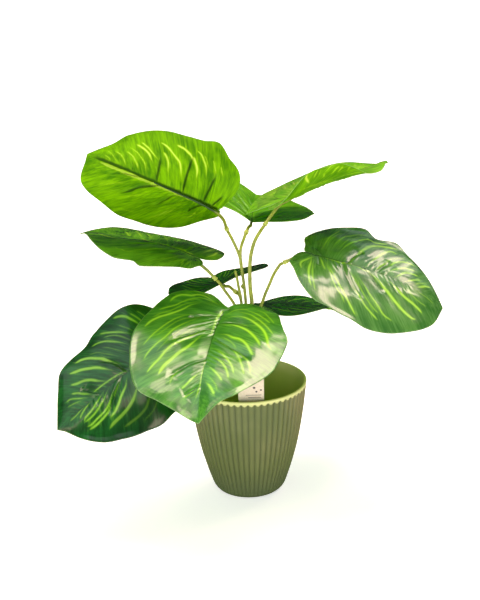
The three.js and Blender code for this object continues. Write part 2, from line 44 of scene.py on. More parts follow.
# ---------------------------------------------------------------- measured tables
POT_HEIGHT, POT_RIM_R, POT_WALL, RIBS, RIB_DEPTH, LIP_BAND = 118.0, 60.0, 2.6, 56, 1.3, 3.2
POT_PROFILE = np.array([[0, 26.5], [1.6, 31.8], [5.9, 36.0], [15.3, 39.7], [47.2, 48.9], [78, 54.9], [114.8, 59.6]], float)
FILL_TOP, FILL_BOTTOM, SOCKET_DEPTH = 70.0, 3.4, 42.0
STEM_R, CROWN, CROWN_R = 4.0, (1.5, 0.0, 172.0), 8.0
STALK_R, THICK_R, GAP = 1.45, 2.1, 0.3
SHEET_T = 0.5                  # leaf sheet as it really looks
LABEL = dict(w=25.0, t=0.6, x=3.5, foot=(-37.5, 70.5), head=(-58.4, 144.5))

# Each leaf: place of the node, compass turn, pitch and roll, size, and how the sheet is bent.
LEAVES = {
    "upper_left": {
        "node": [-24.13, -10.0, 301.62],
        "turn": [-86.8, 22.08, 57.65],
        "size": 0.972,
        "bend": [-0.089, -0.043, -0.201, 0.122],
        "sway": [-0.246, -0.064],
        "twist": [0.038, 0.1],
        "left": [0.105, -0.081, 0.011, -0.05],
        "right": [0.184, -0.23, 0.116, -0.12],
        "wave": [-0.96, -3.89, 0.54, 1.61, -3.71, -0.76, 1.72, -0.98],
        "trimL": [0.386, 0.173, 0.09, 0.18, 0.232, 0.671, 0.839, 0.901, 1.077, 0.999, 0.978, 1.004, 1.031, 1.041, 0.934, 0.927],
        "trimR": [0.39, 0.198, 0.161, 0.158, 0.147, 0.216, 0.391, 0.674, 0.905, 0.931, 0.955, 1.06, 1.105, 1.229, 1.346, 1.231],
        "collar": [-16.24, 11.0, 272.75],
        "lead": [[-19.69, -7.5, 288.97]],
    },
    "left": {
        "node": [-49.91, -4.0, 253.88],
        "turn": [-57.2, 6.77, 2.38],
        "size": 0.972,
        "bend": [-0.102, -0.066, 0.182, -0.166],
        "sway": [-0.042, -0.037],
        "twist": [0.062, -0.095],
        "left": [0.135, 0.082, -0.212, 0.055],
        "right": [-0.013, -0.02, -0.455, -0.226],
        "wave": [-5.0, -0.07, -2.42, -1.4, -1.31, 1.44, 0.41, 1.11],
        "trimL": [0.99, 0.99, 0.983, 0.994, 1.076, 1.026, 1.047, 1.07, 0.952, 1.04, 1.038, 1.017, 0.97, 0.976, 0.987, 0.991],
        "trimR": [0.978, 0.934, 0.856, 0.79, 0.72, 0.74, 0.83, 0.93, 0.994, 1.007, 1.009, 1.005, 0.997, 0.991, 0.992, 0.992],
        "collar": [-27.89, -3.0, 225.8],
        "lead": [[-37.27, -3.6, 236.69]],
    },
    "back": {
        "node": [-21.35, 32.0, 210.37],
        "turn": [-3.99, -20.59, -48.44],
        "size": 0.632,
        "bend": [0.139, 0.41, 0.359, 0.066],
        "sway": [0.019, 0.043],
        "twist": [0.487, -0.234],
        "left": [0.474, 0.549, -0.092, 0.023],
        "right": [-0.196, 0.121, -0.256, -0.275],
        "wave": [-2.99, 10.7, 0.05, -0.24, 0.73, -0.52, -1.4, 0.26],
        "trimL": [1.017, 1.028, 1.042, 1.081, 1.118, 1.147, 1.118, 1.087, 1.046, 1.035, 1.021, 0.967, 0.916, 0.88, 0.904, 0.936],
        "trimR": [1.043, 1.069, 1.049, 1.0, 0.944, 0.945, 0.977, 1.005, 1.005, 1.0, 0.956, 0.914, 0.865, 0.866, 0.935, 0.959],
        "collar": [-8.27, 9.0, 207.49],
        "lead": [[-15.48, 20.0, 210.21]],
    },
    "right": {
        "node": [68.49, -14.0, 253.76],
        "turn": [98.16, -15.31, 20.59],
        "size": 1.014,
        "bend": [-0.153, -0.374, -0.077, -0.062],
        "sway": [-0.113, -0.052],
        "twist": [0.058, 0.022],
        "left": [-0.079, -0.145, -0.257, -0.124],
        "right": [0.09, -0.224, 0.001, -0.353],
        "wave": [-5.82, -3.67, -2.94, 3.92, -1.48, -1.2, -0.4, 0.05],
        "trimL": [0.78, 0.6, 0.47, 0.46, 0.477, 0.792, 0.902, 0.944, 0.979, 1.046, 0.903, 1.082, 0.997, 1.008, 1.032, 1.033],
        "trimR": [0.898, 0.857, 0.757, 0.801, 0.861, 0.87, 0.999, 1.044, 0.965, 0.962, 1.035, 1.076, 1.106, 1.167, 1.225, 1.184],
        "collar": [38.21, -9.0, 243.49],
        "lead": [[48.28, -12.5, 249.27]],
    },
    "upper_right": {
        "node": [33.9, 24.0, 295.79],
        "turn": [56.74, 10.61, -5.77],
        "size": 0.967,
        "bend": [-0.046, -0.045, 0.136, 0.163],
        "sway": [0.042, 0.144],
        "twist": [0.117, 0.024],
        "left": [-0.065, 0.031, -0.252, -0.105],
        "right": [0.17, 0.047, 0.418, -0.019],
        "wave": [-2.1, -3.45, 2.14, 2.35, -0.74, 4.3, -3.26, 0.93],
        "trimL": [1.062, 1.065, 1.06, 0.966, 0.839, 0.846, 0.872, 0.937, 1.009, 0.951, 0.993, 1.004, 1.018, 1.02, 1.007, 1.012],
        "trimR": [0.948, 0.916, 0.887, 0.921, 0.988, 1.003, 1.013, 0.963, 0.926, 0.995, 0.994, 0.976, 1.06, 1.046, 0.997, 1.005],
        "collar": [20.37, 8.0, 276.89],
        "lead": [[26.75, 16.5, 283.3]],
    },
    "upper_back": {
        "node": [8.4, 43.0, 268.46],
        "turn": [0.1, -6.78, 0.1],
        "size": 0.861,
        "bend": [0.092, 0.143, 0.053, 0.073],
        "sway": [0.078, 0.055],
        "twist": [0.021, -0.005],
        "left": [0.678, 0.211, -0.052, 0.111],
        "right": [0.116, 0.08, -0.026, -0.242],
        "wave": [3.38, -0.46, -0.3, 0.6, 0.76, 0.44, -0.94, -1.14],
        "trimL": [0.898, 0.894, 0.993, 1.04, 1.03, 1.017, 1.01, 1.005, 1.003, 1.002, 1.003, 1.004, 1.005, 1.01, 1.013, 1.009],
        "trimR": [0.992, 0.994, 1.002, 1.023, 1.01, 1.067, 1.009, 0.972, 0.984, 0.973, 1.008, 1.029, 0.998, 1.019, 1.002, 1.0],
        "collar": [2.31, 11.0, 268.68],
        "lead": [[4.74, 26.0, 269.66]],
    },
    "front": {
        "node": [-21.26, -47.0, 209.57],
        "turn": [197.48, -18.65, 1.53],
        "size": 0.983,
        "bend": [-0.411, 0.45, -0.025, -0.042],
        "sway": [-0.088, -0.229],
        "twist": [0.109, 0.121],
        "left": [-0.008, -0.056, -0.192, -0.113],
        "right": [0.062, -0.009, -0.078, 0.194],
        "wave": [-4.32, -1.6, 0.61, 0.25, -1.2, -3.05, -1.6, -0.01],
        "trimL": [0.99, 0.991, 1.022, 1.02, 0.916, 0.88, 0.844, 0.83, 0.887, 0.996, 0.988, 1.007, 1.005, 1.01, 0.882, 0.901],
        "trimR": [0.996, 0.995, 0.995, 0.975, 1.018, 1.026, 0.976, 0.956, 0.998, 1.052, 1.063, 1.103, 1.152, 1.033, 0.966, 0.968],
        "collar": [-9.0, -24.0, 191.6],
        "lead": [[-17.0, -38.5, 203.3]],
    },
    "front_left": {
        "node": [-77.21, -42.0, 174.39],
        "turn": [-122.11, -20.06, -2.63],
        "size": 0.96,
        "bend": [-0.301, -0.002, 0.157, -0.001],
        "sway": [0.07, -0.0],
        "twist": [-0.066, -0.041],
        "left": [-0.153, -0.232, -0.162, -0.336],
        "right": [0.137, 0.004, 0.059, -0.02],
        "wave": [0.13, -0.79, 1.11, 1.66, -0.57, 0.0, 0.46, -2.82],
        "trimL": [1.001, 1.002, 1.002, 1.003, 1.003, 1.003, 1.002, 0.998, 0.991, 0.978, 1.026, 0.997, 1.005, 1.092, 1.15, 1.02],
        "trimR": [1.004, 1.006, 1.011, 1.021, 1.042, 1.021, 1.038, 1.033, 1.025, 1.019, 0.953, 0.995, 1.044, 1.006, 1.011, 1.009],
        "collar": [-52.0, -28.0, 181.0],
        "lead": [[-64.0, -35.5, 176.8]],
    },
    "back_right": {
        "node": [17.33, 45.0, 179.84],
        "turn": [62.95, -7.58, -3.04],
        "size": 0.946,
        "bend": [-0.179, -0.087, -0.641, -0.012],
        "sway": [0.267, 0.087],
        "twist": [-0.084, 0.077],
        "left": [-0.036, -0.027, -0.272, 0.073],
        "right": [0.11, 0.053, -0.004, 0.086],
        "wave": [-3.34, -3.39, -2.45, 2.41, 4.21, 1.59, 1.19, 0.82],
        "trimL": [1.0, 1.0, 0.999, 0.997, 0.994, 0.994, 0.992, 0.986, 0.976, 0.982, 0.99, 1.022, 1.012, 1.005, 1.002, 1.001],
        "trimR": [1.007, 1.005, 1.001, 0.999, 0.995, 0.993, 0.988, 0.976, 0.986, 0.994, 0.999, 1.002, 1.002, 1.001, 1.001, 1.001],
        "collar": [9.8, 16.0, 183.4],
        "lead": [[13.2, 31.0, 182.6]],
    },
}

# Stalk centre lines, crown end first.
STALKS = {
    "stalk_upper_right": {
        "points": [[1.5, 0.0, 166.3], [1.5, 0.0, 174.4], [6.343, 0.5, 198.309], [5.284, 1.5, 212.671], [5.042, 2.5, 227.975], [6.245, 3.8, 246.152], [10.729, 5.5, 261.95], [16.332, 7.0, 271.373], [18.316, 5.261, 274.82], [20.166, 7.726, 276.681]],
        "thick": 1,
        "endR": 1.6,
        "steps": 14,
        "branch": [],
    },
    "stalk_upper_fork": {
        "points": [[1.259, 4.594, 166.3], [1.259, 4.594, 174.4], [0.426, 5.2, 197.846], [-0.671, 6.2, 214.349], [-2.379, 7.4, 229.656], [-3.795, 8.5, 244.387], [-3.066, 9.2, 253.96], [1.669, 7.06, 268.428], [2.244, 10.606, 268.659]],
        "thick": 0,
        "endR": 1.45,
        "steps": 13,
        "branch": [{"points": [[-3.143, 8.2, 238.768], [-4.546, 8.7, 245.895], [-7.313, 9.6, 253.325], [-11.587, 10.4, 263.07], [-15.684, 13.978, 270.137], [-16.184, 11.298, 272.488]], "steps": 7}],
    },
    "stalk_back": {
        "points": [[-2.221, 2.704, 166.3], [-2.221, 2.704, 174.4], [-3.944, 4.6, 198.173], [-4.562, 5.2, 205.349], [-6.229, 5.8, 214.107], [-7.495, 6.2, 222.893], [-9.252, 6.6, 231.557]],
        "thick": 0,
        "endR": 1.25,
        "steps": 11,
        "branch": [{"points": [[-4.105, 4.8, 199.688], [-4.987, 6.0, 204.028], [-6.123, 5.724, 206.677], [-8.055, 8.672, 207.407]], "steps": 3}],
    },
    "stalk_left": {
        "points": [[-2.922, -1.268, 166.3], [-2.922, -1.268, 174.4], [-9.201, -1.5, 195.222], [-13.531, -1.8, 203.844], [-20.251, -2.3, 214.441], [-25.285, -2.833, 222.77], [-27.631, -2.983, 225.497]],
        "thick": 0,
        "endR": 1.45,
        "steps": 9,
        "branch": [],
    },
    "stalk_right": {
        "points": [[6.03, -0.799, 166.3], [6.03, -0.799, 174.4], [15.601, -1.5, 197.203], [19.351, -2.6, 208.292], [24.064, -4.0, 219.907], [28.525, -6.0, 231.03], [32.909, -7.6, 238.657], [34.886, -7.846, 241.587], [37.876, -8.885, 243.302]],
        "thick": 0,
        "endR": 1.45,
        "steps": 12,
        "branch": [],
    },
    "stalk_front": {
        "points": [[3.66, -4.062, 166.3], [3.66, -4.062, 174.4], [1.5, -8.5, 181.5], [-3.0, -15.0, 187.0], [-7.422, -21.14, 189.292], [-8.842, -23.714, 191.369]],
        "thick": 0,
        "endR": 1.45,
        "steps": 10,
        "branch": [],
    },
    "stalk_front_left": {
        "points": [[-0.297, -4.234, 166.3], [-0.297, -4.234, 174.4], [-5.2, -7.5, 183.0], [-18.0, -13.0, 190.0], [-36.0, -20.5, 188.0], [-48.748, -25.968, 182.138], [-51.675, -27.797, 181.114]],
        "thick": 0,
        "endR": 1.45,
        "steps": 11,
        "branch": [],
    },
    "stalk_back_right": {
        "points": [[4.972, 3.018, 166.3], [4.972, 3.018, 174.4], [6.2, 6.2, 179.6], [8.917, 12.104, 183.608], [9.712, 15.61, 183.421]],
        "thick": 0,
        "endR": 1.45,
        "steps": 5,
        "branch": [],
    },
}


# ---------------------------------------------------------------- leaf geometry
LEAF_LEN = 140.0
OUTLINE = np.array([[0, 0, 0], [.05, 3.5, -11], [.10, 11, -20], [.15, 22, -24.5], [.22, 37, -24.5], [.30, 53, -17.5],
                    [.38, 66, -4], [.46, 73.5, 13], [.54, 76, 33], [.62, 74, 54], [.70, 67, 75], [.78, 54.5, 95.5], [.86, 37, 114],
                    [.93, 18, 128.5], [.97, 7.5, 135.5], [1, 0, 140]], float)
FAN = .34
TRIM_AT = [.03, .08, .13, .18, .24, .30, .37, .44, .51, .58, .65, .72, .79, .86, .92, .97]
BLADE_T = 0.9
SPINE_END = 66.0


def slopes(xs, ys):
    h = np.diff(xs)
    d = np.diff(ys) / h
    m = np.zeros(len(xs))
    for i in range(1, len(xs) - 1):
        if d[i - 1] * d[i] > 0:
            w1, w2 = 2 * h[i] + h[i - 1], h[i] + 2 * h[i - 1]
            m[i] = (w1 + w2) / (w1 / d[i - 1] + w2 / d[i])

    def end(h0, h1, d0, d1):
        v = ((2 * h0 + h1) * d0 - h0 * d1) / (h0 + h1)
        if v * d0 <= 0:
            return 0.0
        if d0 * d1 <= 0 and abs(v) > 3 * abs(d0):
            return 3 * d0
        return v
    m[0] = end(h[0], h[1], d[0], d[1])
    m[-1] = end(h[-1], h[-2], d[-1], d[-2])
    return m


def cubic(xs, ys, ms, x):
    i = np.clip(np.searchsorted(xs, x, side="left") - 1, 0, len(xs) - 2)
    h = xs[i + 1] - xs[i]
    t = np.clip((x - xs[i]) / h, 0, 1)
    t2, t3 = t * t, t * t * t
    return (2 * t3 - 3 * t2 + 1) * ys[i] + (t3 - 2 * t2 + t) * h * ms[i] + (3 * t2 - 2 * t3) * ys[i + 1] + (t3 - t2) * h * ms[i + 1]


OA, OX, OY = OUTLINE[:, 0], OUTLINE[:, 1], OUTLINE[:, 2]
MX, MY = slopes(OA, OX), slopes(OA, OY)


def flat(a, q, side, trim):
    """Flat position of a point: a runs round the half outline, q from midrib to edge."""
    X, Y = cubic(OA, OX, MX, a), cubic(OA, OY, MY, a)
    t = np.clip((a - FAN) / (1 - FAN), 0, 1)
    at, trim = np.asarray(TRIM_AT), np.asarray(trim, float)
    S, k = LEAF_LEN * t * t, cubic(at, trim, slopes(at, trim), np.clip(a, at[0], at[-1]))
    bow = -0.05 * np.abs(X) * 4 * (q - q * q) * np.clip((a - .2) / .2, 0, 1) * np.clip((1 - a) / .15, 0, 1)
    return side * X * k * q, S + (Y - S) * k * q + bow


def turn_matrix(h, p, r):
    h, p, r = (math.radians(v) for v in (h, p, r))
    ch, sh, cp, sp, cr, sr = math.cos(-h), math.sin(-h), math.cos(p), math.sin(p), math.cos(r), math.sin(r)
    Rz = np.array([[ch, -sh, 0], [sh, ch, 0], [0, 0, 1.0]])
    Rx = np.array([[1.0, 0, 0], [0, cp, -sp], [0, sp, cp]])
    Ry = np.array([[cr, 0, sr], [0, 1.0, 0], [-sr, 0, cr]])
    return Rz @ Rx @ Ry


def leaf_shape(L):
    """Returns a function that bends flat points (mm) into space (mm)."""
    n = 146
    es = -0.3 + 0.01 * np.arange(n)
    k0, k1, k2, kb = L["bend"]
    s0, s1 = L["sway"]
    al = np.where(es >= 0, k0 * es + k1 * es ** 2 / 2 + k2 * es ** 3 / 3, kb * es)
    be = np.where(es >= 0, s0 * es + s1 * es ** 2 / 2, 0 * es)
    T = np.stack([np.sin(be) * np.cos(al), np.cos(be) * np.cos(al), np.sin(al)], -1)
    C = np.zeros((n, 3))
    C[1:] = np.cumsum((T[1:] + T[:-1]) * 0.005 * LEAF_LEN, 0)
    at = lambda arr, e: np.interp(e, es, arr)
    C0 = np.array([at(C[:, k], 0.0) for k in range(3)])
    M = turn_matrix(*L["turn"])
    node, size = np.array(L["node"], float), L["size"]

    def shape(x, y):
        x, y = np.asarray(x, float), np.asarray(y, float)
        eta = y / LEAF_LEN
        e = np.clip(eta, -.3, 1.1)
        right = x >= 0
        H = [np.where(right, L["right"][k], L["left"][k]) for k in range(4)]
        f, s = H[0] + H[1] * e, np.abs(x)
        c = (H[2] + H[3] * e) / 75
        c = np.where(np.abs(c) < 1e-7, 1e-7, c)
        X = (np.sin(f + c * s) - np.sin(f)) / c
        X = np.where(right, X, -X)
        Z = (np.cos(f) - np.cos(f + c * s)) / c
        u, v = x / 76, (y - 0.42 * LEAF_LEN) / (0.58 * LEAF_LEN)
        ph = np.arctan2(u, v)
        w = 0
        for k in range(2, 6):
            w = w + L["wave"][2 * k - 4] * np.cos(k * ph) + L["wave"][2 * k - 3] * np.sin(k * ph)
        Z = Z + w * np.minimum(u * u + v * v, 1.6) ** 1.5
        tw = L["twist"][0] * e + L["twist"][1] * e * e
        X2, Z2 = X * np.cos(tw) + Z * np.sin(tw), -X * np.sin(tw) + Z * np.cos(tw)
        a, b = at(al, eta), at(be, eta)
        B = np.stack([np.cos(b), -np.sin(b), 0 * b], -1)
        Tt = np.stack([np.sin(b) * np.cos(a), np.cos(b) * np.cos(a), np.sin(a)], -1)
        N = np.cross(B, Tt)
        Cp = np.stack([at(C[:, k], eta) for k in range(3)], -1) - C0
        P = (Cp + B * X2[..., None] + N * Z2[..., None]) * size
        return P @ M.T + node
    return shape


def leaf_normal(S, x, y, d=0.6):
    n = np.cross(S(x + d, y) - S(x - d, y), S(x, y + d) - S(x, y - d))
    return n / np.linalg.norm(n, axis=-1, keepdims=True)


# ---------------------------------------------------------------- curves and meshes
def smooth(e0, e1, x):
    t = np.clip((x - e0) / (e1 - e0), 0, 1)
    return t * t * (3 - 2 * t)


def catmull(points, per=24):
    """Centripetal curve through the points, as a dense list of points."""
    P = np.array(points, float)
    if len(P) < 3:
        return np.array([P[0] + (P[-1] - P[0]) * t for t in np.linspace(0, 1, per + 1)])
    P = np.vstack([2 * P[0] - P[1], P, 2 * P[-1] - P[-2]])
    out = []
    for i in range(1, len(P) - 2):
        p0, p1, p2, p3 = P[i - 1:i + 3]
        d0, d1, d2 = (np.linalg.norm(b - a) ** .5 for a, b in ((p0, p1), (p1, p2), (p2, p3)))
        d1 = d1 if d1 > 1e-4 else 1.0
        d0 = d0 if d0 > 1e-4 else d1
        d2 = d2 if d2 > 1e-4 else d1
        t1 = ((p1 - p0) / d0 - (p2 - p0) / (d0 + d1) + (p2 - p1) / d1) * d1
        t2 = ((p2 - p1) / d1 - (p3 - p1) / (d1 + d2) + (p3 - p2) / d2) * d1
        for t in np.arange(per) / per:
            out.append(p1 + t1 * t + (-3 * p1 + 3 * p2 - 2 * t1 - t2) * t * t + (2 * p1 - 2 * p2 + t1 + t2) * t ** 3)
    out.append(P[-2])
    return np.array(out)


def arc(P):
    return np.concatenate([[0], np.cumsum(np.linalg.norm(np.diff(P, axis=0), axis=1))])


def resample(P, s):
    c = arc(P)
    return np.stack([np.interp(s, c, P[:, k]) for k in range(P.shape[1])], -1)


def new_mesh(name, verts, faces, mats, attrs=None, face_mat=None, smooth_all=True, scale=MM):
    me = bpy.data.meshes.new(name)
    me.from_pydata((np.asarray(verts) * scale).tolist(), [], faces if isinstance(faces, list) else faces.tolist())
    me.validate()
    for m in mats:
        me.materials.append(m)
    for key, val in (attrs or {}).items():
        a = me.attributes.new(key, "FLOAT", "POINT")
        a.data.foreach_set("value", np.asarray(val, np.float32))
    if face_mat is not None and len(me.polygons) == len(face_mat):
        me.polygons.foreach_set("material_index", np.asarray(face_mat, np.int32))
    me.polygons.foreach_set("use_smooth", np.full(len(me.polygons), smooth_all))
    me.update()
    ob = bpy.data.objects.new(name, me)
    bpy.context.scene.collection.objects.link(ob)
    return ob


def tube(P, R, sides=16, round_start=True, round_end=True):
    """Round bar along P with radii R; returns vertices, faces and each vertex's place along it (mm)."""
    P, R = np.asarray(P, float), np.asarray(R, float)
    s = arc(P)
    if round_start or round_end:
        extra_a, extra_b = [], []
        t0 = (P[1] - P[0]) / np.linalg.norm(P[1] - P[0])
        t1 = (P[-1] - P[-2]) / np.linalg.norm(P[-1] - P[-2])
        for u in (.85, .6, .3):
            w = 1 - math.sqrt(1 - u * u)
            if round_start:
                extra_a.append((P[0] + t0 * R[0] * .0, R[0] * (1 - w) if u < 1 else 0))
            if round_end:
                extra_b.append(w)
        # ends: pull the last ring in and add a shrinking cap
        if round_start:
            cap = [(P[0] + t0 * R[0] * (1 - math.sqrt(max(0, 1 - v * v))), R[0] * v) for v in (.3, .6, .85)]
            keep = s > R[0] * .55
            P = np.vstack([[c[0] for c in cap], P[keep]])
            R = np.concatenate([[c[1] for c in cap], R[keep]])
            s = arc(P)
        if round_end:
            cap = [(P[-1] - t1 * R[-1] * (1 - math.sqrt(max(0, 1 - v * v))), R[-1] * v) for v in (.85, .6, .3)]
            keep = s < s[-1] - R[-1] * .55
            P = np.vstack([P[keep], [c[0] for c in cap]])
            R = np.concatenate([R[keep], [c[1] for c in cap]])
            s = arc(P)
    n = len(P)
    T = np.gradient(P, axis=0)
    T /= np.linalg.norm(T, axis=1, keepdims=True)
    side = np.array([1.0, 0, 0]) if abs(T[0][0]) < .8 else np.array([0, 1.0, 0])
    verts, along = [], []
    ang = 2 * math.pi * np.arange(sides) / sides
    for i in range(n):
        side = side - T[i] * side.dot(T[i])
        side /= np.linalg.norm(side)
        up = np.cross(T[i], side)
        verts.append(P[i] + R[i] * (np.cos(ang)[:, None] * side + np.sin(ang)[:, None] * up))
        along.append(np.full(sides, s[i]))
    verts = np.vstack(verts + [[P[0]], [P[-1]]])
    along = np.concatenate(along + [[s[0]], [s[-1]]])
    faces = []
    for i in range(n - 1):
        a = i * sides
        for k in range(sides):
            b = (k + 1) % sides
            faces.append((a + k, a + b, a + b + sides, a + k + sides))
    e = (n - 1) * sides
    for k in range(sides):
        b = (k + 1) % sides
        faces.append((n * sides, b, k))
        faces.append((n * sides + 1, e + k, e + b))
    return verts, faces, along


def join(parts):
    V, F, A, o = [], [], [], 0
    for v, f, a in parts:
        V.append(v)
        F += [tuple(i + o for i in q) for q in f]
        A.append(a)
        o += len(v)
    return np.vstack(V), F, np.concatenate(A)


def finish_piece(ob, node):
    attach(ob, "root")
    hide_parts(node)
    return ob


# ---------------------------------------------------------------- shader helpers
class Net:
    def __init__(self, name):
        self.mat = bpy.data.materials.new(name)
        self.mat.use_nodes = True
        self.t = self.mat.node_tree
        self.t.nodes.clear()
        self.out = self.t.nodes.new("ShaderNodeOutputMaterial")

    def node(self, kind, **props):
        n = self.t.nodes.new(kind)
        for k, v in props.items():
            setattr(n, k, v)
        return n

    def put(self, socket, value):
        if isinstance(value, bpy.types.NodeSocket):
            self.t.links.new(value, socket)
        elif isinstance(value, (tuple, list)):
            socket.default_value = (*value, 1.0) if len(value) == 3 and len(socket.default_value) == 4 else value
        else:
            socket.default_value = value

    def attr(self, name):
        return self.node("ShaderNodeAttribute", attribute_type="GEOMETRY", attribute_name=name).outputs["Fac"]

    def math(self, op, a, b=0.0, c=0.0, clamp=False):
        n = self.node("ShaderNodeMath", operation=op, use_clamp=clamp)
        for s, v in zip(n.inputs, (a, b, c)):
            self.put(s, v)
        return n.outputs[0]

    def step(self, x, e0, e1, lo=0.0, hi=1.0):
        n = self.node("ShaderNodeMapRange", interpolation_type="SMOOTHSTEP")
        for k, v in (("Value", x), ("From Min", e0), ("From Max", e1), ("To Min", lo), ("To Max", hi)):
            self.put(n.inputs[k], v)
        return n.outputs[0]

    def mix(self, f, a, b):
        n = self.node("ShaderNodeMix", data_type="RGBA")
        self.put(n.inputs[0], f)
        self.put(n.inputs[6], a)
        self.put(n.inputs[7], b)
        return n.outputs[2]

    def vec(self, x, y, z=0.0):
        n = self.node("ShaderNodeCombineXYZ")
        for s, v in zip(n.inputs, (x, y, z)):
            self.put(s, v)
        return n.outputs[0]

    def noise(self, vector, scale=1.0, detail=2.0, rough=.5):
        n = self.node("ShaderNodeTexNoise")
        self.put(n.inputs["Vector"], vector)
        self.put(n.inputs["Scale"], scale)
        self.put(n.inputs["Detail"], detail)
        self.put(n.inputs["Roughness"], rough)
        return n.outputs["Fac"]

    def obj(self):
        return self.node("ShaderNodeTexCoord").outputs["Object"]

    def bump(self, height, strength, distance):
        n = self.node("ShaderNodeBump")
        self.put(n.inputs["Height"], height)
        n.inputs["Strength"].default_value = strength
        n.inputs["Distance"].default_value = distance
        return n.outputs[0]

    def principled(self, **k):
        n = self.node("ShaderNodeBsdfPrincipled")
        for key, v in k.items():
            self.put(n.inputs[key.replace("_", " ")], v)
        return n

    def surface(self, shader):
        self.t.links.new(shader, self.out.inputs["Surface"])
        return self.mat


# ---------------------------------------------------------------- the printed and pressed pattern, in flat leaf coordinates
# (half width, points), from the midrib outwards. L is the half at x < 0, R the half at x > 0.
PRINTS = {
    "print": {
        "L": [
            (.8, [(-12, -9), (-26, -12), (-38, -9)]), (1.1, [(-18, -3), (-34, 3), (-50, 14), (-60, 28)]),
            (1.3, [(-20, 9), (-36, 16), (-52, 30), (-62, 48)]), (1.0, [(-20, 22), (-34, 29), (-48, 41), (-58, 56)]),
            (1.4, [(-17, 38), (-36, 49), (-50, 62), (-57, 79)]), (1.4, [(-16, 54), (-34, 66), (-46, 78), (-50, 90)]),
            (1.0, [(-14, 66), (-28, 78), (-38, 92)]), (1.1, [(-9, 76), (-20, 88), (-29, 102)]),
            (1.0, [(-7, 86), (-17, 96), (-25, 108)]), (.9, [(-5, 97), (-14, 107), (-19, 116)]), (.8, [(-4, 109), (-10, 117), (-13, 123)])],
        "R": [
            (.8, [(14, -9), (28, -12), (42, -9)]), (1.1, [(22, -4), (40, 1), (55, 10), (63, 24)]),
            (1.4, [(22, 12), (40, 18), (56, 31), (66, 50)]), (1.0, [(20, 24), (34, 32), (48, 45), (58, 60)]),
            (1.5, [(18, 34), (34, 46), (48, 62), (58, 80)]), (1.3, [(17, 50), (30, 62), (43, 77), (50, 92)]),
            (1.4, [(13, 66), (26, 79), (35, 93), (39, 105)]), (1.0, [(10, 78), (20, 91), (28, 106)]),
            (1.1, [(8, 90), (17, 101), (24, 112)]), (.9, [(6, 102), (13, 111), (17, 119)])],
    },
}
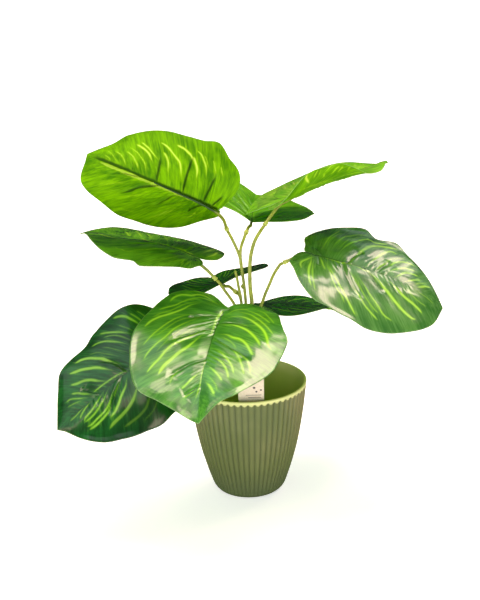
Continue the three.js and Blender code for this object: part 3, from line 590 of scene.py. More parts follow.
# the same for single leaves: (half width, brightness, points from the midrib outwards)
LINES = {
    "front": {
        "L": [
            (0.5, 0.55, [(-5.6, 3.2), (-9.4, -3.1), (-14.3, -7.3), (-21.3, -10.6)]), (0.6, 0.8, [(-20.8, -8.7), (-30.8, -5.6), (-40.2, 2), (-50.7, 13.5)]),
            (0.5, 0.75, [(-30.7, -12.9), (-37.6, -9.6), (-45.7, 0.5), (-54.9, 13.6)]),
            (0.8, 0.85, [(-11.7, -2), (-25.9, -2), (-36.1, 5.7), (-45.2, 15.6), (-54.1, 26.5), (-59.4, 33.2)]),
            (1.3, 1, [(-5.8, 11.4), (-10.9, 7.8), (-20.9, 5.4), (-29.1, 8.6), (-39.6, 17.7), (-48.6, 28.1), (-53.9, 38.2), (-57, 47.5), (-60.6, 52.2)]),
            (0.5, 0.6, [(-4.4, 20.2), (-13.7, 17.9), (-22.5, 17.3), (-29.8, 18.9)]),
            (1.3, 1, [(-6.8, 21.8), (-15.6, 21.2), (-23.2, 23), (-31.1, 27.2), (-38.8, 34.3), (-45.9, 42.9), (-49.3, 49)]),
            (1.4, 0.95, [(-5.3, 35), (-13.6, 36), (-20, 38.9), (-27.7, 41), (-34.4, 46.4), (-39.9, 54.5), (-44, 61.5)]),
            (0.6, 0.6, [(-2.9, 38), (-6.9, 38.4), (-14.9, 41.8), (-22.1, 47.1), (-26.2, 52.4)]), (0.5, 0.5, [(-3.3, 44.3), (-11.1, 47), (-18.1, 51.5)]),
            (1, 0.9, [(-2, 54.8), (-6, 56.4), (-12.9, 60.3), (-20.5, 68), (-26.6, 76.9), (-30.5, 87.4)]),
            (1, 0.95, [(-1.8, 63.9), (-6.3, 65.9), (-12.9, 70.2), (-19.3, 76.9), (-23.2, 83.7), (-26.3, 93)]),
            (1, 0.95, [(-1.6, 74.8), (-9.6, 82.3), (-16.5, 89.9), (-20.6, 96.3)]),
            (1.1, 0.75, [(-21.4, 52.9), (-26.3, 58.1), (-31.4, 65.7), (-36.1, 76.1), (-40.1, 88.2)]),
            (1, 0.65, [(-28.9, 57.4), (-35.2, 63.7), (-39.9, 68.5), (-43.7, 77.6), (-45.7, 86.2)]), (0.6, 0.6, [(-5.7, 89), (-10.3, 94.3), (-15.6, 101.8), (-17.7, 109)]),
            (1.3, 0.95, [(-3.2, 94.6), (-8.7, 100.7), (-13.2, 108), (-15.6, 112.9)]),
        ],
        "R": [
            (1.3, 0.9, [(11.1, -11.2), (22, -17.2), (30.5, -18.4), (37.6, -14.7), (46.7, -13.7), (52.8, -8.8), (55.2, -2.2)]),
            (0.5, 0.8, [(14.9, -17.2), (22.1, -21.2), (30.2, -23.6), (37.7, -21.4), (44, -18.7)]),
            (0.6, 0.75, [(8.5, -9.5), (15.6, -12.8), (23, -13.8), (29.1, -13.4), (34.4, -10.3), (40.7, -7.6)]),
            (0.8, 0.8, [(29.2, -10.4), (36.7, -8), (43.4, -2.7), (47.8, 2), (56.8, 6.4), (62.8, 9.7)]),
            (0.6, 0.6, [(26.2, -7.6), (34.3, -3.5), (39.4, -0.2), (44.1, 4.1), (50.3, 9.7), (58.3, 13.6), (65.8, 19.4)]),
            (1.2, 1, [(27.4, -5), (34, 0.3), (38.4, 5.9), (44.5, 10.8), (51.5, 15), (59.7, 19.4), (65.9, 25.3), (70.1, 33.3)]),
            (0.8, 0.75, [(26.9, 11), (39, 16.9), (46.4, 23.6), (52.9, 31.9), (59.7, 42.3), (65.7, 54.4)]),
            (0.5, 0.5, [(23.7, 13.7), (31.1, 17.5), (37.9, 21.1), (43.6, 27), (49.4, 35.3), (55.5, 42.9)]),
            (0.9, 0.85, [(22.8, 16.9), (35, 27.1), (40.7, 33.5), (45.9, 43.6), (53.8, 53.8), (59.4, 64), (60.8, 70.1)]),
            (0.45, 0.45, [(21.8, 20.8), (29.6, 28.2), (37, 38.3), (44.2, 50), (50.4, 60.9)]),
            (1.3, 1, [(11.6, 32.6), (21.5, 40.3), (28.7, 46.5), (36.4, 52.7), (40.8, 58.6), (45.4, 68.3), (50.4, 76.9), (54.4, 85.4)]),
            (1.9, 0.95, [(12.5, 40.3), (20.8, 53.7), (27.4, 60.6), (33.4, 68.9), (39.1, 76.7), (42.9, 87.3)]),
            (0.5, 0.5, [(17.1, 26), (24.8, 32.4), (31.5, 39.3), (38.5, 47.3)]), (0.8, 0.5, [(26.6, 83.6), (29.1, 89.9), (30.2, 97)]),
            (1.1, 0.9, [(4.8, 86.2), (10.5, 93.2), (14.2, 98.2), (18.2, 102.4)]), (0.9, 0.8, [(2.9, 104.1), (8.6, 107.1), (15.1, 111.1)]),
            (0.6, 0.7, [(0.6, 56.9), (0, 72), (0.7, 86.2), (0.9, 100.2), (3, 113.1)]),
        ],
    },
    "right": {
        "L": [
            (0.8, 0.6, [(-13.7, 5.7), (-31.2, 7.9), (-43.9, 10.7), (-55.9, 15.6), (-64.6, 19.1)]), (0.5, 0.55, [(-22, 9.8), (-37.1, 11), (-51.2, 16.9), (-58.3, 21.9)]),
            (0.9, 0.75, [(-26.3, 16.4), (-36.7, 19.4), (-49.3, 24.5), (-55.2, 30.4), (-62.7, 38.5), (-67.1, 49.5)]),
            (0.5, 0.5, [(-27.6, 22.2), (-40.8, 27.5), (-49.6, 33), (-56.5, 41.1)]),
            (1.2, 1, [(-20.1, 24.2), (-31.6, 28.1), (-40.8, 33.5), (-47.9, 39.7), (-54.3, 45.5), (-57.5, 51.2), (-54.1, 56.8), (-58, 65.7), (-62.2, 72.3)]),
            (1.7, 1, [(-8.2, 36.5), (-14.7, 38.5), (-22.4, 41.3), (-31.3, 45.8), (-39.8, 50.8), (-46.4, 57), (-52.3, 68.2), (-56, 76), (-58.6, 84)]),
            (1.3, 1, [(-9.5, 53.4), (-20.1, 58), (-29.6, 62.7), (-38, 67.3), (-45.3, 72.7), (-48.3, 78.1), (-46.1, 82.8)]),
            (0.8, 0.75, [(-0.5, 58.7), (-7.1, 62.5), (-17.6, 67.5), (-23.4, 71.7)]), (0.6, 0.6, [(-21.4, 69.6), (-30.9, 75.1), (-39.1, 83.9), (-41.8, 91.9)]),
            (1.2, 1, [(-16.2, 72.9), (-28.9, 80.5), (-33.7, 86), (-36.6, 94.4), (-36.9, 102.5)]),
            (1, 1, [(-2.9, 71.3), (-10.1, 76), (-18, 82.7), (-24.3, 90.4), (-26.9, 97.2), (-27.9, 103.2)]),
            (1.1, 1, [(-0, 77.2), (-6.6, 83.9), (-15.4, 90.4), (-19.7, 98.3), (-21.8, 106.7)]), (1, 0.9, [(-0, 89.1), (-4.8, 94.4), (-10, 100.3), (-17.9, 109)]),
            (0.7, 0.7, [(-1, 99.1), (-9.3, 106.4), (-18.5, 116.8)]), (1.2, 1, [(-0, 102), (-5.2, 108.4), (-11.4, 114.9), (-16.2, 122.2)]),
        ],
        "R": [
            (1, 0.95, [(10.3, -1.3), (18, -6.1), (26.5, -10), (35.4, -10), (40.2, -8.3)]),
            (1.1, 1, [(10.2, -2.2), (20.2, -1.4), (31.1, -1.7), (43, -0.6), (53.7, 1.9), (59.5, 4.5)]),
            (0.7, 0.75, [(16.7, 0.7), (35.8, 2.2), (48.6, 4.5), (58.1, 7.3), (63.1, 9.1)]), (0.8, 0.7, [(0.6, 4.6), (8, 7.2), (15.8, 10.1), (23.2, 13)]),
            (0.7, 0.9, [(12.8, 12.6), (21.9, 17.2), (34.7, 21.5), (44.9, 26.8), (51.3, 33.2), (57.4, 36.6)]),
            (1.1, 1, [(13.4, 14.6), (21.3, 18.8), (30.9, 24.4), (40.5, 30.4), (50.4, 37.6), (58.2, 43.7), (65.3, 49.1)]),
            (0.6, 0.6, [(10.6, 34.4), (17.3, 38.8), (25.6, 45.2), (31.5, 49.5)]),
            (0.6, 0.65, [(15.4, 39.7), (23.6, 46.1), (33.2, 51.2), (42, 57.4), (49.2, 64.3), (52.6, 69.4)]),
            (0.9, 0.85, [(32.9, 43.1), (40, 48.9), (49, 55.3), (55, 62.5), (60.1, 69.8)]),
            (0.9, 0.9, [(18, 46.4), (25.4, 53), (33.9, 59), (42.5, 66.7), (51.6, 74.4), (54.2, 83.2)]),
            (1.7, 1, [(6.5, 57.5), (11.3, 64.5), (18, 70.9), (25.2, 78.2), (32.4, 86.2), (38, 95), (40.6, 103.5), (39.2, 106.5)]),
            (1.6, 0.95, [(3.8, 68.8), (8.4, 77.3), (14, 83.8), (19.2, 91.8), (22.3, 101.5), (25.5, 109.4), (28.1, 113)]),
            (0.6, 0.5, [(2.7, 84), (7.8, 92.8), (12.9, 100), (16, 109), (16.4, 116.3)]), (0.5, 0.5, [(1.1, 99.2), (3.3, 107), (4.5, 117.1), (6.1, 125.5)]),
            (0.9, 0.8, [(3.4, -0.2), (1.2, 7.5), (1.8, 16.2), (2.5, 25.1), (0, 35), (0, 41.7), (2.9, 49.1), (2.7, 55.1)]),
        ],
    },
    "front_left": {
        "L": [
            (0.9, 0.9, [(-0, 94.9), (-2.3, 104.9), (-5.6, 112.7), (-8.3, 116.4)]),
            (1, 1, [(-0, 79.3), (-2.2, 83.7), (-5.8, 92.7), (-9.6, 102.7), (-11.1, 110.5), (-13, 114.9)]),
            (1, 1, [(-0.4, 73.2), (-3.5, 77.9), (-9.4, 87.8), (-13.6, 99.1), (-15.1, 108.2), (-14.9, 115.1)]),
            (1.1, 1, [(-8.8, 74.2), (-15.4, 83.4), (-19.4, 93.1), (-20.3, 104), (-21.1, 113.1), (-20, 116.5)]),
            (1.2, 1, [(-17.4, 84.6), (-22.5, 91.5), (-24.1, 100.2), (-24.6, 110.2), (-23.9, 117)]),
            (1.4, 1, [(-8, 56.3), (-13.2, 61.4), (-18.7, 71.2), (-23.5, 78.3), (-27.2, 86.4), (-28.9, 93.6)]), (0.6, 0.6, [(-6.3, 65.9), (-9.9, 71.7), (-14.2, 77.2)]),
            (1.8, 0.85, [(-21.1, 50.1), (-25.2, 56.5), (-30.9, 64.4), (-34.4, 73.9), (-35.3, 84.7), (-35.1, 95.7), (-36.2, 101.7)]),
            (1.4, 0.6, [(-38.1, 47.2), (-42.4, 52.9), (-47.9, 61.8), (-48.9, 70.8), (-47.4, 81.4), (-45.5, 89.7)]),
            (0.7, 0.55, [(-48.5, 44.9), (-52.2, 51.3), (-55.8, 59.1), (-56.4, 71.2)]), (0.8, 0.65, [(-0, 98.4), (-0, 108.1), (-1.8, 116), (-2.4, 124.6)]),
        ],
        "R": [
            (1.5, 1, [(43.3, 4.4), (45.8, 4.7), (54.1, 6.6), (61.8, 8.8), (67.3, 12.9), (71.7, 18)]), (0.9, 0.8, [(44.4, -0), (48.6, 0.3), (55.5, 1.7), (60.1, 2.9)]),
            (0.7, 0.6, [(45.9, -6.5), (51.1, -5.7), (57.7, -4)]), (0.6, 0.5, [(44.5, 15), (47.1, 15.7), (54.2, 18.3), (58.1, 19.5)]),
            (1.3, 0.9, [(42.1, 19.6), (49.2, 23.8), (55.6, 28.3), (62.5, 33.5), (69.3, 39.2)]),
            (0.8, 0.6, [(33.5, 23.1), (41.2, 25.5), (49.5, 29.1), (55.7, 33.9), (60, 39.2)]),
            (1.2, 0.95, [(32.7, 29.1), (40, 32.5), (47.6, 37.1), (54.4, 41.8), (59.5, 48.1), (61.5, 55)]),
            (0.5, 0.5, [(23.2, 35.4), (32.4, 39.6), (41.6, 43.6), (49.5, 48.3)]), (0.6, 0.5, [(25.7, 44.3), (32.5, 47.2), (40.2, 51.9), (48.5, 56.3), (53, 62.9)]),
            (1.8, 1, [(16.8, 50.1), (27.2, 53.8), (35.5, 56.9), (42.4, 61.7), (49.3, 66.8), (53.5, 72.6), (54.9, 80.5)]),
            (1.9, 1, [(14.2, 60), (22.9, 64.2), (30.5, 68.4), (35.6, 73.5), (41.2, 80.5), (44, 87.2), (46.2, 92.5)]),
            (1.7, 0.75, [(9.1, 73.4), (13.6, 76.9), (21.7, 81.7), (26.8, 87.2), (29.8, 94.3), (33.5, 99.7)]),
            (1.2, 0.7, [(7.6, 92.5), (13.6, 96.6), (19.1, 100.5), (23.7, 105.4)]), (1, 0.7, [(8.8, 99.5), (13.5, 104.3), (18.9, 109.9), (19.5, 114.7)]),
            (0.7, 0.6, [(9.9, 106.8), (11.7, 111), (13.3, 116.6)]), (0.9, 0.8, [(3.3, 42.7), (1.6, 50.3), (4, 56.5), (5.2, 64.5), (6, 72.8), (6.6, 81.7), (7.5, 88.9)]),
        ],
    },
    "upper_left": {
        "L": [
            (1.3, 1, [(-24.4, 81.1), (-29.7, 86.8), (-32.4, 93.7), (-33.3, 102.1)]), (1, 0.95, [(-29.1, 78.4), (-33.1, 85.6), (-36.1, 91.3), (-38.3, 99.4)]),
            (0.7, 0.8, [(-7.4, 79.9), (-17.5, 85.9), (-22.1, 92.5), (-25.4, 98.7), (-26.7, 106.3)]),
            (0.9, 0.8, [(-5.8, 86.8), (-13.1, 92.5), (-18.3, 98.6), (-20.9, 107.3)]), (0.8, 0.7, [(-5, 100.6), (-11.7, 106.9), (-14.6, 112), (-14.8, 116.5)]),
            (0.6, 0.6, [(-5.2, 111), (-10, 117.9), (-12.2, 124.3)]), (0.6, 0.6, [(-2, 114.8), (-5, 118.9), (-6.3, 124.2)]),
            (1.1, 0.9, [(-19, 60.3), (-30.6, 65.3), (-36.3, 70.6), (-38.7, 74.4)]),
            (1.3, 0.95, [(-15.7, 44.6), (-29.2, 50.2), (-35.8, 54.3), (-39.7, 60.1), (-43.2, 66.2), (-47, 74), (-47.9, 81.6)]),
            (1.5, 1, [(-46.8, 42.5), (-52.3, 50.6), (-54.8, 56.8), (-54.7, 65.8)]), (1.3, 1, [(-26.1, 31.9), (-35.9, 34.7), (-44.1, 39.6), (-50.4, 44.3)]),
            (1, 0.9, [(-33, 23.7), (-43, 27.5), (-50.7, 32.8), (-57.1, 38), (-59.9, 43.7)]), (0.6, 0.6, [(-46.1, 26.4), (-53.3, 30.6), (-57.3, 33.9)]),
            (0.7, 0.6, [(-41.3, 16.1), (-50.5, 20.6), (-55.4, 23.6)]), (0.7, 0.7, [(-44.1, 10), (-50.8, 13.3)]),
        ],
        "R": [
            (0.8, 0.6, [(49.6, 24.3), (43, 20), (27.4, 17.1)]), (0.7, 0.5, [(58.5, 54.2), (49, 46.3), (38.7, 41.4)]),
            (0.6, 0.45, [(52.6, 47.3), (45.2, 41.9), (29.5, 36.1)]), (0.5, 0.4, [(62.9, 88.2), (59.2, 78.3), (55.8, 69.4)]),
            (0.6, 0.4, [(42.9, 87.4), (33.7, 79), (21.7, 68.8)]), (0.6, 0.4, [(36.1, 113.7), (26.2, 101.7), (16.8, 91.4)]),
            (1.6, 0.55, [(2.9, 14.9), (3.5, 26.5), (1.7, 37.6), (2.8, 49.9), (4.1, 62.1), (3.1, 76.6), (2.7, 88.5), (4.4, 100.3), (4.7, 113.3), (3.7, 124.5)]),
            (2, 0.45, [(6, 6), (5.2, 30), (4.8, 60), (4.4, 92), (3, 124)]),
        ],
    },
    "upper_right": {
        "L": [
            (1.1, 0.7, [(-36, 34), (-60.1, 47.4)]), (1, 0.9, [(-33.7, 44.3), (-56.1, 55.5)]), (0.7, 0.6, [(-71.6, 43.1), (-57.1, 32.5)]),
            (0.6, 0.5, [(-21.6, 41.9), (-50.1, 58)]),
        ],
        "R": [
            (1.4, 1, [(57.6, 7.8), (66.4, 1.5), (68.9, 3.3)]), (0.9, 0.8, [(64.4, 14.5), (68.5, 15.1)]), (0.8, 0.7, [(57, 27.6), (61.3, 26.4)]),
            (0.8, 0.9, [(66.1, 28.4), (70.5, 29.7), (73.2, 33.9)]), (0.8, 1, [(60.6, 37), (67.5, 37.8), (71.3, 39.6)]),
            (0.7, 0.9, [(63.2, 42.7), (67.1, 42.9), (72.3, 43.7)]), (0.8, 0.7, [(70.1, 50.9), (74.1, 50.3)]), (0.6, 0.55, [(64.5, 19.6), (69.1, 19.1)]),
            (0.7, 0.6, [(49, -15.6), (50.3, -0.9), (47.1, 13.4), (43, 30.6), (44.2, 46.5), (52.8, 54.6), (59.6, 62.6), (68.3, 69.3)]),
            (0.5, 0.7, [(47.1, 7.3), (42.3, 22.4), (38, 37.1), (37.2, 50.4)]),
        ],
    },
    "left": {
        "L": [
            (1.5, 0.85, [(-28.8, 72.7), (-34, 78.2), (-36.6, 84.6), (-32.5, 95.2)]), (0.9, 0.8, [(-1, -4.5), (-10.1, -5.3), (-7.7, 2.2), (-4.9, 11.4)]),
            (0.5, 0.6, [(-3.7, 50.2), (-15.4, 54.9), (-27.9, 64.8), (-44.1, 69.9)]), (0.6, 0.7, [(-14.8, 42.7), (-26.9, 49.2), (-42.1, 58.4)]),
            (0.8, 0.7, [(-50, 35.5), (-56.7, 41.8), (-57.6, 49.3), (-58.5, 58.5)]), (0.5, 0.7, [(-6.5, 21.2), (-23.5, 24.4), (-40.3, 31), (-49.5, 39.4)]),
            (0.5, 0.7, [(-15.1, 10.9), (-27.6, 12.1), (-44.3, 22.3), (-56.8, 34.3)]), (0.6, 0.5, [(-23.4, 0.4), (-38.2, -0.4), (-52.3, 4.4), (-62.7, 12.5)]),
            (0.5, 0.45, [(-26.4, -8.8), (-40.9, -9.3), (-52, -5.3)]), (0.5, 0.6, [(-29.8, -16), (-41.8, -19.6)]), (0.5, 0.6, [(-33.2, -11), (-44.9, -15.6)]),
        ],
        "R": [
            (1, 0.8, [(5.3, 66.5), (14.1, 76), (23.4, 86.2)]), (0.9, 0.8, [(0, 77.2), (2.1, 80.3), (11.4, 90.1)]), (0.9, 0.8, [(13.3, 60.5), (23, 70.4), (27.7, 76.4)]),
            (0.7, 0.6, [(9.5, 37), (17.9, 43.8), (28.5, 53.5)]), (0.6, 0.5, [(27.8, 15), (38.7, 26.1)]),
            (0.9, 0.9, [(0, 13.3), (0, 18), (0, 25.8), (1.2, 32.5), (1.1, 41.2), (0.5, 49.1), (0, 57.6), (0.9, 65.5)]), (1.1, 0.9, [(15.9, -4), (28.4, -1), (48.2, 3.8)]),
            (1.3, 1, [(12.3, -12.9), (19.8, -12.6), (36.6, -6.5)]),
        ],
    },
    # on back and back_right these lines trace glints on the shaded leaves, so they are painted highlights in the stripe
    # colour; those leaves get their print from GENERAL_TOO
    "back": {
        "L": [
            (0.5, 0.4, [(-43, 84.7), (-53.5, 75.2), (-63.8, 54.6)]),
        ],
        "R": [
            (0.6, 0.5, [(3.1, 56), (12.4, 68.7), (19.6, 65.4)]), (0.4, 0.35, [(26.6, 82.6), (36.9, 78.2)]),
        ],
    },
    "back_right": {
        "L": [
            (0.5, 0.35, [(-0, 11.6), (-1.8, 24.9)]), (0.4, 0.35, [(-47.6, 55.7), (-34.5, 59.3)]),
        ],
        "R": [
            (0.7, 0.5, [(25.7, 15.1), (49.6, 6.6), (63.7, 7.2), (62.5, 16.2)]), (0.5, 0.4, [(6.4, 38.2), (32.6, 34.2), (45.4, 40.2)]),
        ],
    },
    "upper_back": {
        "L": [
            (0.6, 0.6, [(-37.3, -25.2), (-27, 1), (-14.3, 25.9)]), (0.6, 0.6, [(-36.8, 18.8), (-24.1, 50.6), (-10.7, 72.1)]),
            (0.6, 0.7, [(-32.1, 67.2), (-21.9, 78.4), (-11.9, 83.5)]), (0.5, 0.6, [(-27.1, 105.4), (-17, 112.6), (-7.4, 111.5)]),
            (0.5, 0.6, [(-16.5, 124), (-8.9, 122.5), (-2.7, 118.1)]),
        ],
        "R": [
            (1, 0.45, [(38.7, 44.8), (45.6, 45.4), (54.3, 41.8), (61.9, 35.3)]), (0.6, 0.35, [(22, 23.9), (39.7, 15.8), (51.7, -0.7)]),
        ],
    },
}
GENERAL_TOO = {"back": .55, "back_right": .5, "upper_right": .0}   # leaves that carry the general print as well, and how strongly
# pressed side veins: (depth in mm, points from the midrib outwards)
FOLDS = {
    "print": {
        "L": [(.9, [(-1, 14), (-22, 14), (-42, 22), (-56, 36)]), (1.0, [(-1, 38), (-22, 49), (-42, 60)]), (.9, [(-1, 64), (-18, 74), (-33, 88)]), (.7, [(-1, 92), (-14, 104)])],
        "R": [(.9, [(1, 9), (19, 12), (36, 19)]), (1.0, [(1, 29), (22, 37), (42, 51)]), (.9, [(1, 56), (18, 67), (34, 84)]), (.7, [(1, 88), (15, 102)])],
    },
    "right": {
        "L": [(.8, [(-1, 8), (-12, 2), (-22, -4)]), (.9, [(-1, 33), (-16, 38), (-30, 48)]), (1.1, [(-1, 63), (-15, 69), (-30, 78)])],
        "R": [(.7, [(1, 4), (12, 6), (22, 8)]), (1.1, [(2, 27), (18, 33), (38, 45), (46, 52)]), (1.0, [(2, 51), (14, 62), (28, 74)])],
    },
    "front": {
        "L": [(.9, [(-1, 19), (-13.4, 16.7), (-27.8, 19), (-42.5, 29.6), (-58, 50)]), (1.0, [(-1, 39), (-8, 44), (-22.5, 53.4), (-35.4, 60.8), (-47, 71)])],
        "R": [(.8, [(1, 8), (18.4, 11.9), (34, 18)]), (1.2, [(1, 27.5), (13, 30.9), (23, 37), (33.8, 42.7), (43, 52)]),
              (1.2, [(1, 69), (14.6, 74.4), (26.8, 83.7), (36, 92.5)]), (.9, [(1, 100), (8, 105), (17, 112.5)])],
    },
    "front_left": {
        "L": [(1.0, [(-1, 58), (-9, 68), (-22, 88.8), (-28.5, 97)]), (.9, [(-1, 22), (-22, 33), (-38, 48)])],
        "R": [(1.1, [(1, 85), (13.3, 91), (24, 95)]), (1.1, [(1, 49), (24, 53), (39, 62.5)]), (.9, [(1, 8), (22, 10), (40, 20)])],
    },
    "upper_left": {
        "L": [(1.5, [(-1, 66), (-19, 70.3), (-38, 75.8)]), (1.6, [(-1, 38), (-29, 42.3), (-59, 45.4)]), (1.5, [(-1, 15.3), (-23.5, 14.8), (-44, 13.9)]),
              (1.3, [(-1, 6.5), (-22, -1.6)]), (.8, [(-1, 92), (-10, 95), (-19, 100)])],
        "R": [(1.4, [(1, 61), (16, 77), (29.4, 85.4), (44, 94)]), (1.0, [(2, 40), (11, 45.3), (21.3, 49.4), (41, 58.8)]), (1.3, [(1, 12), (3.5, 14.4), (18.7, 21.8), (36, 27.4)]),
              (.9, [(1, 80), (7.4, 101), (18.4, 112.3)]), (.8, [(3, 28), (17.7, 37.3), (33.6, 54)])],
    },
}
LIME_RIB = [(1.8, 1), (2.8, 10), (2.8, 22), (2.4, 36)]   # the print's bright line beside the midrib


def to_line(px, py, line):
    """Distance, place along (0 to 1) and signed side from flat points to a line of points."""
    best, frac, sgn = np.full(px.shape, 1e9), np.zeros(px.shape), np.zeros(px.shape)
    c = arc(line)
    for i in range(len(line) - 1):
        a, d = line[i], line[i + 1] - line[i]
        t = np.clip(((px - a[0]) * d[0] + (py - a[1]) * d[1]) / (d @ d), 0, 1)
        qx, qy = a[0] + t * d[0], a[1] + t * d[1]
        dist = np.hypot(px - qx, py - qy)
        m = dist < best
        best[m] = dist[m]
        frac[m] = ((c[i] + t * (c[i + 1] - c[i])) / c[-1])[m]
        sgn[m] = np.sign(d[0] * (py - qy) - d[1] * (px - qx))[m]
    return best, frac, sgn


def halves(table, name, side):
    key = "L" if side < 0 else "R"
    rows = table.get(name, table["print"])[key]
    return table["print"][key] if rows is None else rows


def print_rows(name, side):
    key = "L" if side < 0 else "R"
    general = [(w, .74 + .26 * min(1, w / 1.4), pts) for w, pts in PRINTS["print"][key]]
    if name not in LINES:
        return general
    k = GENERAL_TOO.get(name, 0)
    return LINES[name][key] + [(w, b * k, pts) for w, b, pts in general if k > 0]


def print_fields(x, y, name, side):
    """Signed distance (mm) into the nearest lime stripe, and how bright it is there."""
    best, bright = np.full(x.shape, -6.0), np.zeros(x.shape)
    for w, b, pts in print_rows(name, side):
        p0, p1 = np.array(pts[0], float), np.array(pts[1], float)
        back = (p0 - p1) / max(1e-6, np.linalg.norm(p0 - p1))
        tail = min(7.0, max(0.0, (abs(p0[0]) - 2.0) / max(.3, -back[0] * np.sign(p0[0]) if p0[0] else 1)))
        if tail > 2 and abs(p0[0]) > 4:
            pts = [tuple(p0 + back * tail)] + [tuple(p) for p in pts]
        line = catmull([tuple(p) for p in pts], 6)
        d, t, _ = to_line(x, y, line)
        half = w * (.16 + .84 * smooth(0, .5, t)) * np.clip((1 - t) / .10, 0, 1) ** .5
        v = half - d
        m = v > best
        best[m] = v[m]
        bright[m] = (b * smooth(-.12, .42, t))[m]
    if side > 0 and name not in ("right", "upper_left", "front_left"):
        line = catmull(LIME_RIB, 8)
        d, t, _ = to_line(x, y, line)
        v = 1.5 * (1 - .7 * t) - d
        m = v > best
        best[m] = v[m]
        bright[m] = (1 - .35 * t)[m]
    return np.maximum(best, -6), bright


# local lifts and shifts of the sheet, for curled basal lobes: (half, x, y, reach, dx, dy, lift), all in mm
NUDGE = {
    "front": [(1, 1.0, -4.5, 4.6, -5.4, .4, 1.3), (1, 9.0, -18.0, 7.0, 0, 0, -1.2)],
    "right": [(1, 5.0, -8.0, 7.0, 0, 0, 2.2)],
    "back_right": [(1, 3.5, -10.0, 5.0, 0, 0, 2.6)],
    "left": [(1, 2.0, -14.0, 12.0, -7.0, 0, .6)],
}


def nudge(x, y, name, side):
    dx, dy, dz = 0 * x, 0 * x, 0 * x
    for half, cx, cy, reach, ax, ay, az in NUDGE.get(name, []):
        if half != side:
            continue
        w = np.exp(-((x - cx) ** 2 + (y - cy) ** 2) / (2 * reach ** 2)) * smooth(.3, 4.5, np.hypot(x, y))
        dx, dy, dz = dx + ax * w, dy + ay * w, dz + az * w
    return dx, dy, dz


def relief(x, y, name, side, phase):
    """Height of the pressed relief over the smooth sheet (mm), and the crease mask where shade is painted into the leaf
    colour.
    """
    s = np.abs(x)
    rib = (1.0 if name == "upper_left" else .55) * (1 - .5 * np.clip(y / LEAF_LEN, 0, 1)) * smooth(-5, 5, y) * smooth(142, 128, y)
    h = -rib * np.exp(-(s / 2.2) ** 1.5)
    # painted shade along the midrib crease; the loop below adds it along the pressed veins
    painted_crease_shade = (1.1 if name == "upper_left" else 1.9) * rib * np.exp(-s / .75)
    near = np.full(x.shape, 14.0)
    for depth, pts in halves(FOLDS, name, side):
        line = catmull(pts, 8)
        d, t, g = to_line(x, y, line)
        fade = (1 - smooth(.62, 1.0, t)) * (.6 + .4 * smooth(0, .2, t))
        h = h - depth * fade * np.exp(-d / 1.15)
        h = h + depth * fade * (.40 + .40 * side * g) * np.exp(-((d - 3.0) / 2.2) ** 2)
        painted_crease_shade = np.maximum(painted_crease_shade, depth * fade * np.exp(-d / (1.15 if name == "upper_left" else .6)))
        near = np.minimum(near, d + 14 * smooth(.75, 1, t))
    # the sheet bulges a little between the pressed veins
    h = h + .95 * (1 - np.exp(-(near / 7.0) ** 2)) * smooth(1, 12, s) * smooth(74, 40, s)
    # small wrinkles beside the midrib, running with the veins, stronger in some places than in others
    k = 2 * math.pi / 5.6
    w = np.sin(k * (y - .60 * s) + 1.5 * np.sin(y / 9 + phase) + 1.1 * np.sin(s / 4.5 + 2 * phase))
    patch = smooth(-.15, .85, np.sin(y / 10.5 + 2.3 * phase + (0 if side > 0 else 2.2)) + .35 * np.sin(s / 3.5 + y / 5))
    h = h + (.48 if name in ("front", "front_left", "right") else .30) * w * patch * np.exp(-s / 10) * (1 - np.exp(-s / 1.8)) * smooth(0, 10, y) * smooth(130, 105, y)
    if name == "upper_left":
        # the bent-up leaf gets broad painted shade along its midrib furrow, with fine ripples beside it
        painted_crease_shade = np.maximum(painted_crease_shade, 1.3 * smooth(142, 120, y) * np.exp(-(s / (2.6 if side < 0 else 1.5)) ** 2) * smooth(-6, 4, y))
        h = h + (.42 if side > 0 else .22) * np.sin(2 * math.pi / 6.4 * (y - .95 * s) + 1.6 * np.sin(y / 8) + 1.2 * np.sin(s / 7)) * smooth(1, 8, s) * smooth(66, 34, s) * smooth(0, 10, y) * smooth(136, 112, y)
    # broad soft unevenness of the sheet
    h = h + .55 * np.sin(x / 11.5 + y / 17 + phase) * np.sin(y / 14.5 - x / 23 + 2.1 * phase) * smooth(4, 22, s)
    h = h + .10 * np.sin((y - .8 * s) / 2.9 + 3 * phase) * smooth(8, 26, s) * smooth(75, 45, s)
    return h, painted_crease_shade


# ---------------------------------------------------------------- materials
# The tones are lit and shaded copies of one leaf colour. The deep, dim and left tones are painted shade for the leaves
# under others. The light and upper tones are painted light for the top leaves. The sage tone carries a painted pale
# reflection haze. The under tone is partly the paler underside and partly painted light shining through the sheet.
TONES = {   # body dark, body light, stripe, stripe core, specular level, coat
    "mid": ((.026, .180, .013), (.115, .420, .036), (.28, .68, .020), (.46, .86, .050), .6, .75),
    "painted_shade_deep": ((.002, .038, .006), (.011, .130, .020), (.13, .38, .018), (.26, .56, .050), .3, .40),
    "painted_shade_dim": ((.003, .045, .003), (.014, .150, .010), (.16, .42, .012), (.28, .60, .040), .12, .15),
    "left": ((.030, .150, .006), (.150, .430, .018), (.28, .58, .020), (.48, .78, .060), .25, .30),
    "painted_haze_sage": ((.036, .165, .022), (.125, .330, .066), (.30, .64, .045), (.46, .80, .085), .6, .75),
    "light": ((.150, .600, .008), (.440, .880, .045), (.45, .78, .030), (.70, .90, .150), .4, .60),
    "upper": ((.085, .360, .003), (.230, .600, .012), (.34, .66, .020), (.52, .80, .080), .12, .15),
    "under": ((.070, .255, .001), (.265, .600, .001), (.42, .72, .008), (.74, .92, .10), .10, .0),
}


